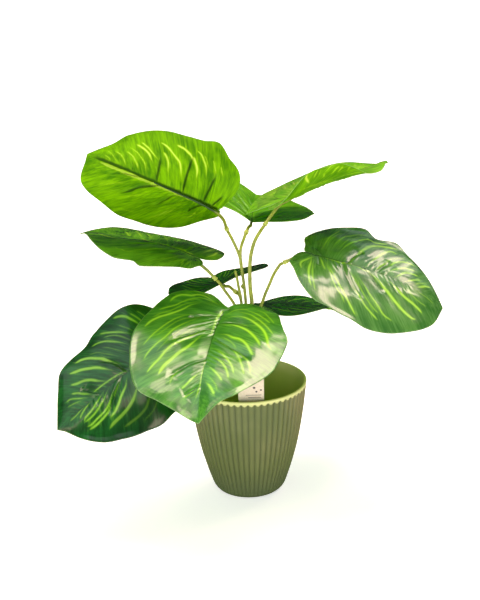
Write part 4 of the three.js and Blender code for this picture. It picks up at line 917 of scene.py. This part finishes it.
def blade_material(name, tone):
    under = tone == "under"
    dark, light, line, line_hot, gloss, coat = TONES[tone]
    n = Net(name)
    stripe, bright, painted_crease_shade, edge = n.attr("stripe"), n.attr("bright"), n.attr("painted_crease_shade"), n.attr("edge")
    va, vq, painted_shadow = n.attr("vein_a"), n.attr("vein_q"), n.attr("painted_shadow")
    fine = n.noise(n.vec(n.math("MULTIPLY", va, 110.0), n.math("MULTIPLY", vq, 2.6)), 1.0, 3.0, .65)
    wide = n.noise(n.vec(n.math("MULTIPLY", va, 16.0), n.math("MULTIPLY", vq, 2.0)), 1.0, 2.0, .5)
    mottled = n.noise(n.obj(), 55.0, 3.0, .6)
    body = n.mix(n.step(n.math("ADD", n.math("MULTIPLY", fine, .55), n.math("MULTIPLY", wide, .45)), .38, .64), dark, light)
    body = n.mix(n.math("MULTIPLY", n.step(mottled, .42, .72), .25), body, light)
    # thin lighter streaks beside the stripes, running with the veins
    near = n.math("MULTIPLY", n.step(stripe, -4.5, -.6), n.step(fine, .54, .66))
    body = n.mix(n.math("MULTIPLY", n.math("MULTIPLY", near, bright), .45), body, line)
    body = n.mix(n.math("MULTIPLY", n.math("MULTIPLY", n.step(stripe, -1.7, .3), bright), .38), body, n.mix(.6, light, line))
    body = n.mix(n.math("MULTIPLY", n.step(stripe, -.42, .30), bright), body, n.mix(n.step(stripe, .05, .95), line, line_hot))
    # painted shade in the creases: the body darkens along the pressed veins and the midrib
    painted_groove_shade = (.003, .034, .003) if not under else (.016, .050, .001)
    body = n.mix(n.math("MULTIPLY", n.step(painted_crease_shade, .25, .95), .85 if under else .75), body, painted_groove_shade)
    body = n.mix(n.math("MULTIPLY", n.step(edge, .9, .1), .55), body, (.30, .48, .16) if not under else (.16, .42, .01))
    # painted shadow: the body darkens where the shadow mask is set, for the shadow that other leaves cast
    body = n.mix(painted_shadow, body, n.mix(.75, body, (dark[0] * .35, dark[1] * .35, dark[2] * .35)))
    height = n.math("ADD", n.math("MULTIPLY", fine, .6), n.math("MULTIPLY", mottled, .4))
    p = n.principled(Base_Color=body, Roughness=.23 if not under else .50, IOR=1.5)
    p.inputs["Specular IOR Level"].default_value = gloss
    p.inputs["Coat Weight"].default_value = coat
    p.inputs["Coat Roughness"].default_value = .09
    n.put(p.inputs["Normal"], n.bump(height, .25, .0006))
    tr = n.node("ShaderNodeBsdfTranslucent")
    n.put(tr.inputs["Color"], n.mix(.35, body, (.34, .85, .0)))
    m = n.node("ShaderNodeMixShader")
    m.inputs[0].default_value = .30 if under else .20
    n.t.links.new(p.outputs[0], m.inputs[1])
    n.t.links.new(tr.outputs[0], m.inputs[2])
    return n.surface(m.outputs[0])


def stalk_material(name, base, pale, dark, painted_backlit_shade=False):
    n = Net(name)
    o = n.obj()
    along = n.attr("along")
    ring = n.attr("ring")
    streak = n.noise(n.vec(n.math("MULTIPLY", along, .02), n.noise(o, 420.0, 1.0), 0.0), 4.0, 2.0)
    patch = n.noise(o, 60.0, 2.0)
    c = n.mix(n.step(streak, .35, .65), base, pale)
    c = n.mix(n.math("MULTIPLY", n.step(patch, .45, .75), .5), c, dark)
    c = n.mix(n.math("MULTIPLY", ring, .8), c, (.56, .64, .12))
    if painted_backlit_shade:
        # painted shade: the sleeve goes dark green where the dark attribute is set, standing in for the backlit spine
        # under the leaf
        c = n.mix(n.attr("dark"), c, (.022, .070, .003))
    p = n.principled(Base_Color=c, Roughness=.30, IOR=1.5)
    n.put(p.inputs["Normal"], n.bump(n.noise(o, 900.0, 2.0), .12, .0004))
    return n.surface(p.outputs[0])


def pot_material():
    n = Net("pot_plastic")
    o = n.obj()
    sep = n.node("ShaderNodeSeparateXYZ")
    n.put(sep.inputs[0], o)
    z = sep.outputs[2]
    cloud = n.noise(o, 18.0, 3.0, .6)
    soft = n.noise(o, 9.0, 1.0, .5)
    lip, inner, painted_groove_shade = n.attr("lip"), n.attr("inner"), n.attr("painted_groove_shade")
    c = n.mix(n.step(cloud, .35, .7), (.120, .146, .037), (.156, .178, .053))
    c = n.mix(n.math("MULTIPLY", n.step(z, .035, .105), n.step(soft, .38, .62)), c, (.262, .238, .100))
    # painted shade: darker towards the foot
    c = n.mix(n.step(z, .050, .0), c, (.086, .112, .038))
    # painted shade in the rib grooves
    c = n.mix(n.math("MULTIPLY", painted_groove_shade, .72), c, (.060, .078, .016))
    # painted light: the inside wall is much lighter than the outside, as if lit
    c = n.mix(inner, c, (.550, .610, .190))
    c = n.mix(lip, c, (.680, .690, .280))
    p = n.principled(Base_Color=c, Roughness=.38, IOR=1.47)
    p.inputs["Specular IOR Level"].default_value = .5
    n.put(p.inputs["Normal"], n.bump(n.noise(o, 1400.0, 2.0), .06, .0003))
    return n.surface(p.outputs[0])


def plug_material():
    n = Net("plug_rough")
    o = n.obj()
    a, b = n.noise(o, 260.0, 4.0, .7), n.noise(o, 40.0, 2.0)
    c = n.mix(n.step(a, .3, .7), (.045, .035, .024), (.16, .125, .085))
    c = n.mix(n.math("MULTIPLY", n.step(b, .4, .7), .4), c, (.09, .10, .045))
    p = n.principled(Base_Color=c, Roughness=.92)
    n.put(p.inputs["Normal"], n.bump(a, .8, .0015))
    return n.surface(p.outputs[0])


DOTS = ((15.4, 63.6, 1.25), (17.6, 58.8, 1.05), (22.0, 60.8, 1.0))
BARS = ((7.0, 22.5, 54.6, .35), (9.5, 22.0, 51.6, .45))


def label_material():
    n = Net("label_card")
    u, v = n.attr("u"), n.attr("v")   # millimetres from the label's left edge and from its foot
    o = n.obj()
    paper = n.noise(o, 700.0, 3.0, .7)
    c = n.mix(n.step(paper, .3, .7), (.66, .56, .44), (.76, .67, .55))
    ink = None
    for cu, cv, r in DOTS:
        du, dv = n.math("SUBTRACT", u, cu), n.math("SUBTRACT", v, cv)
        d = n.math("SQRT", n.math("ADD", n.math("MULTIPLY", du, du), n.math("MULTIPLY", dv, dv)))
        k = n.step(d, r + .25, r - .25)
        ink = k if ink is None else n.math("MAXIMUM", ink, k)
    for lo, hi, cv, half in BARS:
        inside = n.math("MULTIPLY", n.step(u, lo - .2, lo + .2), n.step(u, hi + .2, hi - .2))
        k = n.math("MULTIPLY", inside, n.step(n.math("ABSOLUTE", n.math("SUBTRACT", v, cv)), half + .2, half - .1))
        ink = n.math("MAXIMUM", ink, n.math("MULTIPLY", k, .7))
    c = n.mix(ink, c, (.030, .026, .020))
    p = n.principled(Base_Color=c, Roughness=.72)
    return n.surface(p.outputs[0])


TOPS = {tone: blade_material("leaf_top_" + tone, tone) for tone in TONES if tone != "under"}
MAT_UNDER = blade_material("leaf_underside", "under")
# each leaf takes its lit or shaded tone, so painted light and shade differ from leaf to leaf
TONE = {"front": "mid", "front_left": "painted_shade_deep", "left": "left", "back": "painted_shade_dim", "right": "painted_haze_sage", "upper_right": "light",
        "upper_back": "upper", "back_right": "painted_shade_dim", "upper_left": "mid"}
MAT_STALK = stalk_material("stalk_plastic", (.225, .285, .012), (.370, .425, .040), (.080, .115, .004))
MAT_SLEEVE = stalk_material("sleeve_plastic", (.190, .255, .010), (.340, .400, .035), (.060, .095, .003), True)
MAT_POT, MAT_PLUG, MAT_LABEL = pot_material(), plug_material(), label_material()


# ---------------------------------------------------------------- leaves
FINE = ("front", "front_left", "right", "upper_left")


def blade(name, L, order):
    S = leaf_shape(L)
    phase = 1.7 * order + .4
    NA, NQ = (230, 62) if name in FINE else (170, 40)
    A = np.concatenate([np.linspace(0, .34, int(NA * .34) + 1)[:-1], np.linspace(.34, 1, NA - int(NA * .34) + 1)])
    A = np.where(A < .02, A, A)
    q = np.linspace(0, 1, NQ + 1)
    na = len(A)
    a, qq = np.meshgrid(A, q, indexing="ij")
    ids, X, Y, fields = {}, [], [], []
    count = 2                      # 0 is the node, 1 the tip
    mid = np.zeros(na, int)
    inner = A > FAN + 1e-9
    inner[-1] = False
    mid[inner] = count + np.arange(inner.sum())
    count += inner.sum()
    x0, y0 = [0.0, 0.0], [0.0, LEAF_LEN]
    t = np.clip((A[inner] - FAN) / (1 - FAN), 0, 1)
    x0 += [0.0] * len(t)
    y0 += list(LEAF_LEN * t * t)
    px, py, pa, pq = x0, y0, [0.0, 1.0] + list(A[inner]), [0.0, 0.0] + [0.0] * len(t)
    grids = []
    for side in (-1, 1):
        x, y = flat(a, qq, side, L["trimL" if side < 0 else "trimR"])
        G = np.zeros((na, NQ + 1), int)
        body = np.ones((na, NQ + 1), bool)
        body[0, :] = False
        body[-1, :] = False
        body[:, 0] = False
        G[body] = count + np.arange(body.sum())
        count += body.sum()
        G[0, :] = 0
        G[-1, :] = 1
        G[1:-1, 0] = np.where(A[1:-1] > FAN + 1e-9, mid[1:-1], 0)
        grids.append(G)
        px = np.concatenate([px, x[body]])
        py = np.concatenate([py, y[body]])
        pa = np.concatenate([pa, a[body]])
        pq = np.concatenate([pq, qq[body]])
    px, py, pa, pq = (np.asarray(v, float) for v in (px, py, pa, pq))
    h, painted_crease_shade, stripe, bright = (np.zeros(len(px)) for _ in range(4))
    edge = np.full(len(px), 20.0)
    for side in (-1, 1):
        m = px >= 0 if side > 0 else px <= 0
        hh, ff = relief(px[m], py[m], name, side, phase)
        ss, bb = print_fields(px[m], py[m], name, side)
        centre = px[m] == 0
        if side < 0:
            h[m], painted_crease_shade[m], stripe[m], bright[m] = hh, ff, ss, bb
        else:
            h[m] = np.where(centre, .5 * (h[m] + hh), hh)
            painted_crease_shade[m], stripe[m], bright[m] = ff, np.where(centre, np.maximum(ss, stripe[m]), ss), bb
        line = np.stack(flat(np.linspace(0, 1, 160), 1.0, side, L["trimL" if side < 0 else "trimR"]), -1)
        d, _, _ = to_line(px[m], py[m], line)
        edge[m] = np.minimum(edge[m], d)
    mx, my = px.copy(), py.copy()
    # the relief dies out near the margin, so that the outline stays
    h = h * smooth(0, 7, edge)
    for side in (-1, 1):
        m = px > 0 if side > 0 else px < 0
        ax, ay, az = nudge(px[m], py[m], name, side)
        mx[m] += ax
        my[m] += ay
        h[m] += az
    base_x = np.where(px > 0, np.maximum(mx, 1e-4), np.where(px < 0, np.minimum(mx, -1e-4), 0))
    P = S(base_x, my)
    N = leaf_normal(S, base_x, my)
    # where a curled lobe crosses the midrib it keeps its own side's bend
    over = mx - base_x
    if np.abs(over).max() > 0:
        B = S(base_x + 1.0, my) - S(base_x - 1.0, my)
        P = P + B / 2 * over[:, None]
    P = P + N * h[:, None]
    n = len(px)
    V = np.vstack([P + N * SHEET_T / 2, P - N * SHEET_T / 2])
    F, FM = [], []
    for side, G in zip((-1, 1), grids):
        a0, b0, c0, d0 = G[:-1, :-1], G[:-1, 1:], G[1:, 1:], G[1:, :-1]
        quads = np.stack([a0, b0, c0, d0], -1).reshape(-1, 4)
        if side < 0:
            quads = quads[:, ::-1]
        for f in quads:
            u = list(dict.fromkeys(f.tolist()))
            if len(u) < 3:
                continue
            F.append(tuple(u))
            FM.append(0)
            F.append(tuple(i + n for i in reversed(u)))
            FM.append(1)
        r = G[:, NQ]
        for i in range(na - 1):
            p, s = int(r[i]), int(r[i + 1])
            f = (p, p + n, s + n, s) if side > 0 else (p, s, s + n, p + n)
            F.append(f)
            FM.append(0)
    both = lambda v: np.concatenate([v, v])
    sgn = np.sign(px)
    # painted shadow: the right half of upper_back and the lower outer part of front_left are darkened for the shadow of
    # the leaves above
    attrs = {"stripe": both(stripe), "bright": both(bright), "painted_crease_shade": both(painted_crease_shade), "edge": both(edge),
             "vein_a": both(pa + np.where(px < 0, 3.1, 0) + .37 * order), "vein_q": both(pq),
             "painted_shadow": both(np.where(px > 0, .18, 0.0) if name == "upper_back" else
                           .75 * smooth(-24, -46, px) * smooth(30, 60, py) if name == "front_left" else 0 * px)}
    ob = new_mesh("blade_" + name, V, F, [TOPS[TONE[name]], MAT_UNDER], attrs, FM)
    finish_piece(ob, "leaf_blade_" + name)
    return S, phase


MARKS = [(0, 1.15), (.18, 1.9), (.5, 2.25), (1.0, 2.38), (1.5, 2.3), (1.9, 2.0), (2.3, 1.72), (2.6, 1.75), (3.0, 2.08), (3.5, 2.22), (4.0, 2.16),
         (4.5, 1.95), (4.9, 1.6), (5.3, 1.45)]


def sleeve(name, L, S, phase):
    k = L["size"]

    def under(y, off):
        yy = np.array([y / k])
        x = np.array([0.0])
        h, _ = relief(x, yy, name, 1, phase)
        nn = leaf_normal(S, x + .01, yy)[0]
        return S(x, yy)[0] + nn * (h[0] - off)
    spine = [(.5, 1.75), (7, 1.6), (18, 1.45), (34, 1.2), (50, .95), (SPINE_END * min(1, k + .1), .7)]
    ease = [1.45, .55, .1, .05, .05, .05]
    tail = [under(y, SHEET_T / 2 + r * .86 + e) for (y, r), e in zip(spine, ease)]
    c0, lead = np.array(L["collar"], float), [np.array(v, float) for v in L["lead"]]
    d = (lead[0] - c0) / np.linalg.norm(lead[0] - c0)
    C = catmull([c0, c0 + d * 5.5, *lead, *tail], 30)
    total = arc(C)[-1]
    at = np.linalg.norm(lead[0] - c0) + np.linalg.norm(lead[0] - tail[0])
    stations = np.concatenate([[m[0] for m in MARKS], np.arange(6.0, total, 1.3), [total]])
    R = []
    for s in stations:
        if s <= 5.3:
            R.append(np.interp(s, [m[0] for m in MARKS], [m[1] for m in MARKS]))
        elif s < at:
            R.append(1.45 + .2 * (s - 5.3) / max(1, at - 5.3))
        else:
            R.append(1.5 - .95 * (s - at) / (total - at))
    V, F, along = tube(resample(C, stations), R, 18, False, True)
    ring = np.where(along < 5.0, 1.0, np.exp(-(along - 5.0) / 5.0) * .4)
    # on upper_left the dark attribute paints shade on the sleeve part that runs under the leaf
    ob = new_mesh("sleeve_" + name, V, F, [MAT_SLEEVE], {"along": along, "ring": ring,
        "dark": smooth(at - 4, at + 3, along) if name == "upper_left" else 0 * along})
    finish_piece(ob, "leaf_sleeve_" + name)


for i, (name, L) in enumerate(LEAVES.items()):
    S, phase = blade(name, L, i)
    sleeve(name, L, S, phase)


# ---------------------------------------------------------------- stalks
def stalk_path(points):
    C = catmull(points[1:-1], 24)
    return np.vstack([[points[0]], C, [points[-1]]])


KNOTS = {   # small rings and buds moulded on the stalks: (height, extra radius, length)
    "stalk_upper_fork": [(227.5, .45, 1.3), (238.5, .25, 2.5)],
    "stalk_upper_right": [(224.0, .22, 1.2)],
}
for name, s in STALKS.items():
    parts = []
    for j, part in enumerate([s] + s["branch"]):
        C = stalk_path(part["points"])
        total = arc(C)[-1]
        st = np.linspace(0, total, max(12, int(total / 1.1)))
        P = resample(C, st)
        r0 = THICK_R if s["thick"] else STALK_R
        r1 = s["endR"] if j == 0 else STALK_R
        R = r0 + (r1 - r0) * st / total
        if j == 0:
            for z, extra, length in KNOTS.get(name, []):
                R = R + extra * np.exp(-((P[:, 2] - z) / length) ** 2)
            if s["thick"]:
                R = R + .5 * smooth(186, 172, P[:, 2]) * 0
        parts.append(tube(P, R, 16, j == 0, True))
    if name == "stalk_upper_fork":   # a bud on the side of the stem
        i = np.abs(resample(stalk_path(s["points"]), np.arange(0, 60, .5))[:, 2] - 214.6).argmin()
        c = resample(stalk_path(s["points"]), np.arange(0, 60, .5))[i]
        parts.append(tube([c + [-.4, -.2, -2.6], c + [-1.5, -.5, -1.2], c + [-2.1, -.6, .6], c + [-1.7, -.5, 2.0], c + [-1.2, -.4, 3.0]], [.5, 1.15, 1.45, 1.0, .4], 14))
    V, F, along = join(parts)
    ob = new_mesh(name + "_bar", V, F, [MAT_STALK], {"along": along, "ring": 0 * along})
    finish_piece(ob, name)


# ---------------------------------------------------------------- stem
def stem():
    c = np.array(CROWN)
    pts = [(0, 0, FILL_TOP - SOCKET_DEPTH + GAP), (0, 0, FILL_TOP), (.3, 0, 110), (.9, 0, 145), (c[0], c[1], c[2] - 15), (c[0], c[1], c[2] - 10),
           (c[0], c[1], c[2] - 4), (c[0], c[1], c[2] - 1), (c[0], c[1], c[2])]
    rad = [STEM_R, STEM_R, STEM_R, STEM_R, STEM_R + .5, CROWN_R - 1.2, CROWN_R, CROWN_R - .3, CROWN_R - 1.2]
    P = np.array(pts, float)
    z = np.concatenate([np.linspace(P[0, 2], c[2] - 16, 60), np.linspace(c[2] - 15.5, c[2], 26)])
    path = np.stack([np.interp(z, P[:, 2], P[:, 0]), 0 * z, z], -1)
    R = cubic(P[:, 2], np.array(rad), slopes(P[:, 2], np.array(rad)), z)
    R = R + .18 * np.exp(-((z - 96) / 1.2) ** 2) + .18 * np.exp(-((z - 131) / 1.2) ** 2)
    V, F, along = tube(path, R, 28, False, False)
    ob = new_mesh("stem_bar", V, F, [MAT_STALK], {"along": along, "ring": 0 * along})
    finish_piece(ob, "main_stem")


stem()


# ---------------------------------------------------------------- pot
def pot():
    per = 10
    nt = RIBS * per
    ang = 2 * math.pi * (np.arange(nt) / nt)
    prof = catmull([(z, r) for z, r in POT_PROFILE], 40)
    zs = np.concatenate([np.linspace(0, 9, 14), np.linspace(9, 106, 32)[1:], np.linspace(106, 115.2, 26)[1:]])
    top = [(115.6, 59.66), (116.2, 59.72), (116.8, 59.74), (117.3, 59.66), (117.7, 59.42), (117.94, 59.0), (118.0, 58.5), (117.95, 58.0), (117.75, 57.62), (117.3, 57.4), (116.6, 57.3)]
    inner = [(z, np.interp(z, [9, 47.2, 78, 114.8], [34.2, 46.3, 52.3, 57.0])) for z in (115, 112, 106, 100, 94, 88, 78, 66, 54, 47.2, 36, 24, 14, 9)]
    floor = [(6.0, 33.4), (3.9, 32.4), (3.2, 31.2), (3.0, 29.5), (3.0, 15.0), (3.0, 4.0)]
    outer = [(z, float(np.interp(z, prof[:, 0], prof[:, 1])), 1) for z in zs]
    rows = [(0.0, 8.0, 0), (0.0, 20.0, 0)] + outer + [(z, r, 2) for z, r in top] + [(z, r, 3) for z, r in inner + floor]
    V, lip, painted_light_inner, groove_shade_rows = [], [], [], []
    u = ((ang * RIBS / (2 * math.pi)) % 1.0) * 2 - 1           # -1..1 across a rib, 0 at its crest
    cusp = 1 - np.sqrt(np.maximum(0, 1 - (.985 * u) ** 2))
    cusp = .62 * cusp / cusp.max() + .38 * u ** 2
    for z, r, kind in rows:
        if kind == 1:
            # the grooves end in round notches under the lip and fade out over the foot
            k = np.clip((115.0 - z) / 1.5, 0, 1) ** .5 * smooth(.6, 7.5, z) * (.55 + .45 * smooth(0, 30, z))
            rr = r - RIB_DEPTH * cusp * k
            g = cusp * k
            l = .85 * smooth(-.7, .35, z - (115.7 - 2.2 * (1 - np.minimum(1, 1.15 * np.abs(u)) ** 2)))
        else:
            rr, g = r * np.ones(nt), np.zeros(nt)
            l = np.ones(nt) if kind == 2 else (smooth(104, 116.5, z) if kind == 3 else 0) * np.ones(nt)
        V.append(np.stack([rr * np.cos(ang), rr * np.sin(ang), z * np.ones(nt)], -1))
        lip.append(l)
        painted_light_inner.append((1.0 if kind == 3 else 0.0) * np.ones(nt))
        groove_shade_rows.append(g)
    n = len(rows)
    V = np.vstack(V + [[[0, 0, 0.0]], [[0, 0, 3.0]]])
    F = []
    for i in range(n - 1):
        a = i * nt
        for j in range(nt):
            b = (j + 1) % nt
            F.append((a + j, a + b, a + b + nt, a + j + nt))
    for j in range(nt):
        b = (j + 1) % nt
        F.append((n * nt, b, j))
        F.append((n * nt + 1, (n - 1) * nt + j, (n - 1) * nt + b))
    cat = lambda v: np.concatenate(v + [[0, 0]])
    ob = new_mesh("pot_ribbed", V, F, [MAT_POT], {"lip": cat(lip), "inner": cat(painted_light_inner), "painted_groove_shade": cat(groove_shade_rows)})
    finish_piece(ob, "pot")


pot()


def plug():
    rin = lambda z: np.interp(z, POT_PROFILE[:, 0], POT_PROFILE[:, 1]) - POT_WALL - 1.1
    prof = [(0.01, FILL_BOTTOM), (30.6, FILL_BOTTOM), (33.4, 10), (rin(28) - .6, 28), (rin(47.2) - .5, 47.2), (rin(FILL_TOP) - .4, FILL_TOP - 1.2), (rin(FILL_TOP) - 1.4, FILL_TOP - .2)]
    radial = list(np.linspace(rin(FILL_TOP) - 2.5, STEM_R + GAP + 1.0, 26))
    prof += [(r, FILL_TOP - .2) for r in radial] + [(STEM_R + GAP + .05, FILL_TOP - .6), (STEM_R + GAP + .05, FILL_TOP - SOCKET_DEPTH), (0.01, FILL_TOP - SOCKET_DEPTH)]
    nt = 96
    ang = 2 * math.pi * np.arange(nt) / nt
    V = []
    for k, (r, z) in enumerate(prof):
        zz = np.full(nt, float(z))
        if 7 <= k < 7 + len(radial):
            zz = z - .5 + .5 * np.sin(5 * ang + r / 4) * np.sin(r / 5 + 2 * ang)
        V.append(np.stack([r * np.cos(ang), r * np.sin(ang), zz], -1))
    n = len(prof)
    V = np.vstack(V)
    F = [(i * nt + j, i * nt + (j + 1) % nt, (i + 1) * nt + (j + 1) % nt, (i + 1) * nt + j) for i in range(n - 1) for j in range(nt)]
    F.append(tuple(reversed(range(nt))))
    F.append(tuple((n - 1) * nt + j for j in range(nt)))
    ob = new_mesh("plug_top", V, F, [MAT_PLUG])
    finish_piece(ob, "pot_filler")


plug()


def label():
    (y0, z0), (y1, z1) = LABEL["foot"], LABEL["head"]
    length = math.hypot(y1 - y0, z1 - z0)
    ty, tz = (y1 - y0) / length, (z1 - z0) / length
    nu, nv = 14, 40
    V, U, W = [], [], []
    for layer in (-1, 1):
        for j in range(nv + 1):
            for i in range(nu + 1):
                u, v = LABEL["w"] * i / nu, length * j / nv
                c = .25 * math.sin(math.pi * v / length) * (1 - .5 * math.cos(math.pi * u / LABEL["w"]) ** 2) * 0
                off = layer * (LABEL["t"] / 2 - .05) + c
                V.append((LABEL["x"] - LABEL["w"] / 2 + u, y0 + ty * v - tz * off, z0 + tz * v + ty * off))
                U.append(u)
                W.append(v)
    row, half = nu + 1, (nu + 1) * (nv + 1)
    F = []
    for j in range(nv):
        for i in range(nu):
            a, b, c, d = j * row + i, j * row + i + 1, (j + 1) * row + i + 1, (j + 1) * row + i
            F.append((a, d, c, b))
            F.append((a + half, b + half, c + half, d + half))
    ringi = [i for i in range(row)] + [j * row + nu for j in range(1, nv + 1)] + [nv * row + i for i in range(nu - 1, -1, -1)] + [j * row for j in range(nv - 1, 0, -1)]
    for a, b in zip(ringi, ringi[1:] + ringi[:1]):
        F.append((a, b, b + half, a + half))
    ob = new_mesh("label_card", V, F, [MAT_LABEL], {"u": U, "v": W}, smooth_all=False)
    finish_piece(ob, "plant_label")


label()

# ---------------------------------------------------------------- camera
yaw, pitch, roll = (math.radians(v) for v in (-0.2166, 19.437, 1.4821))
fwd = np.array([math.sin(yaw) * math.cos(pitch), math.cos(yaw) * math.cos(pitch), -math.sin(pitch)])
right = np.cross(fwd, [0, 0, 1])
right /= np.linalg.norm(right)
up = np.cross(right, fwd)
r2 = math.cos(roll) * right - math.sin(roll) * up
u2 = math.sin(roll) * right + math.cos(roll) * up
data = bpy.data.cameras.new("camera")
data.lens, data.sensor_width, data.sensor_fit = 89.115, 36.0, "AUTO"
data.clip_start, data.clip_end = .05, 60.0
camera = bpy.data.objects.new("camera", data)
bpy.context.scene.collection.objects.link(camera)
M = np.eye(4)
M[:3, 0], M[:3, 1], M[:3, 2], M[:3, 3] = r2, u2, -fwd, (0, -1.385819, .692025)
camera.matrix_world = Matrix(M.tolist())
bpy.context.scene.camera = camera

# ---------------------------------------------------------------- floor and light
scene = bpy.context.scene
scene.view_settings.view_transform = "Standard"
scene.view_settings.look = "None"
scene.view_settings.exposure = 0.0


def floor():
    n = Net("floor_pale")
    p = n.principled(Base_Color=(.88, .88, .87), Roughness=.9, Emission_Color=(1.0, 1.0, .99), Emission_Strength=.62)
    p.inputs["Specular IOR Level"].default_value = .1
    m = n.surface(p.outputs[0])
    me = bpy.data.meshes.new("floor")
    r, k = 14.0, 64
    V = [(r * math.cos(2 * math.pi * i / k), r * math.sin(2 * math.pi * i / k), -.0002) for i in range(k)]
    me.from_pydata(V, [], [tuple(range(k))])
    me.materials.append(m)
    ob = bpy.data.objects.new("floor", me)
    scene.collection.objects.link(ob)
    ob.visible_glossy = False


floor()


def studio():
    """A dim soft room with softboxes: a world whose brightness depends only on the direction."""
    world = bpy.data.worlds.new("studio")
    scene.world = world
    world.use_nodes = True
    t = world.node_tree
    t.nodes.clear()
    n = Net.__new__(Net)
    n.t = t
    out = t.nodes.new("ShaderNodeOutputWorld")
    back = t.nodes.new("ShaderNodeBackground")
    t.links.new(back.outputs[0], out.inputs["Surface"])
    d = n.node("ShaderNodeTexCoord").outputs["Generated"]

    def dot(v):
        k = n.node("ShaderNodeVectorMath", operation="DOT_PRODUCT")
        n.put(k.inputs[0], d)
        k.inputs[1].default_value = v
        return k.outputs["Value"]
    x, y, z = dot((1, 0, 0)), dot((0, 1, 0)), dot((0, 0, 1))

    def add(a, b):
        k = n.node("ShaderNodeVectorMath", operation="ADD")
        n.put(k.inputs[0], a)
        n.put(k.inputs[1], b)
        return k.outputs[0]

    def scale(f, colour):
        k = n.node("ShaderNodeVectorMath", operation="SCALE")
        k.inputs[0].default_value = colour
        n.put(k.inputs["Scale"], f)
        return k.outputs[0]
    # the room: darker behind, lighter in front, dark below
    front = n.math("MULTIPLY", n.step(y, .35, -.75), n.step(z, .45, .15))
    level = n.math("ADD", .05, n.math("MULTIPLY", front, 2.5))
    level = n.math("MULTIPLY", level, n.step(z, -.75, -.35, .12, 1.0))
    level = n.math("ADD", level, n.math("MULTIPLY", n.step(z, .35, .8), .14))
    total = scale(level, (.93, .98, 1.0))
    # ceiling softboxes, as rectangles in the view straight up (x, y), and one low box behind on the right
    for x0, x1, y0, y1, edge, power, colour in BOXES:
        u = n.math("MULTIPLY", n.step(x, x0 - edge, x0 + edge), n.step(x, x1 + edge, x1 - edge))
        v = n.math("MULTIPLY", n.step(y, y0 - edge, y0 + edge), n.step(y, y1 + edge, y1 - edge))
        f = n.math("MULTIPLY", n.math("MULTIPLY", u, v), n.step(z, -.02, .02))
        total = add(total, scale(n.math("MULTIPLY", f, power), colour))
    t.links.new(total, back.inputs["Color"])


WARM, COOL = (1.0, .77, .62), (.84, .97, 1.0)
BOXES = [
    (-.145, .31, -.03, .40, .02, 12.5, WARM),     # overhead, seen in the front leaf
    (-.31, -.150, -.14, .10, .025, 8.5, WARM),     # a weaker one beside it
    (-.29, -.150, .26, .47, .02, 5.5, WARM),      # and one behind that
    (-.66, -.38, -.28, -.06, .04, 3.0, WARM),     # left
    (-.84, -.60, -.44, -.22, .02, 7.0, WARM),     # low on the left
    (-.60, -.30, -.10, .50, .08, 1.2, COOL),      # a cool haze on the left
    (.42, .55, .58, .72, .015, 6.5, WARM),        # behind on the right
    (.57, .72, .35, .51, .015, 11.0, WARM),
    (.10, .60, .40, .82, .06, .65, COOL),         # a cool haze behind
]
studio()
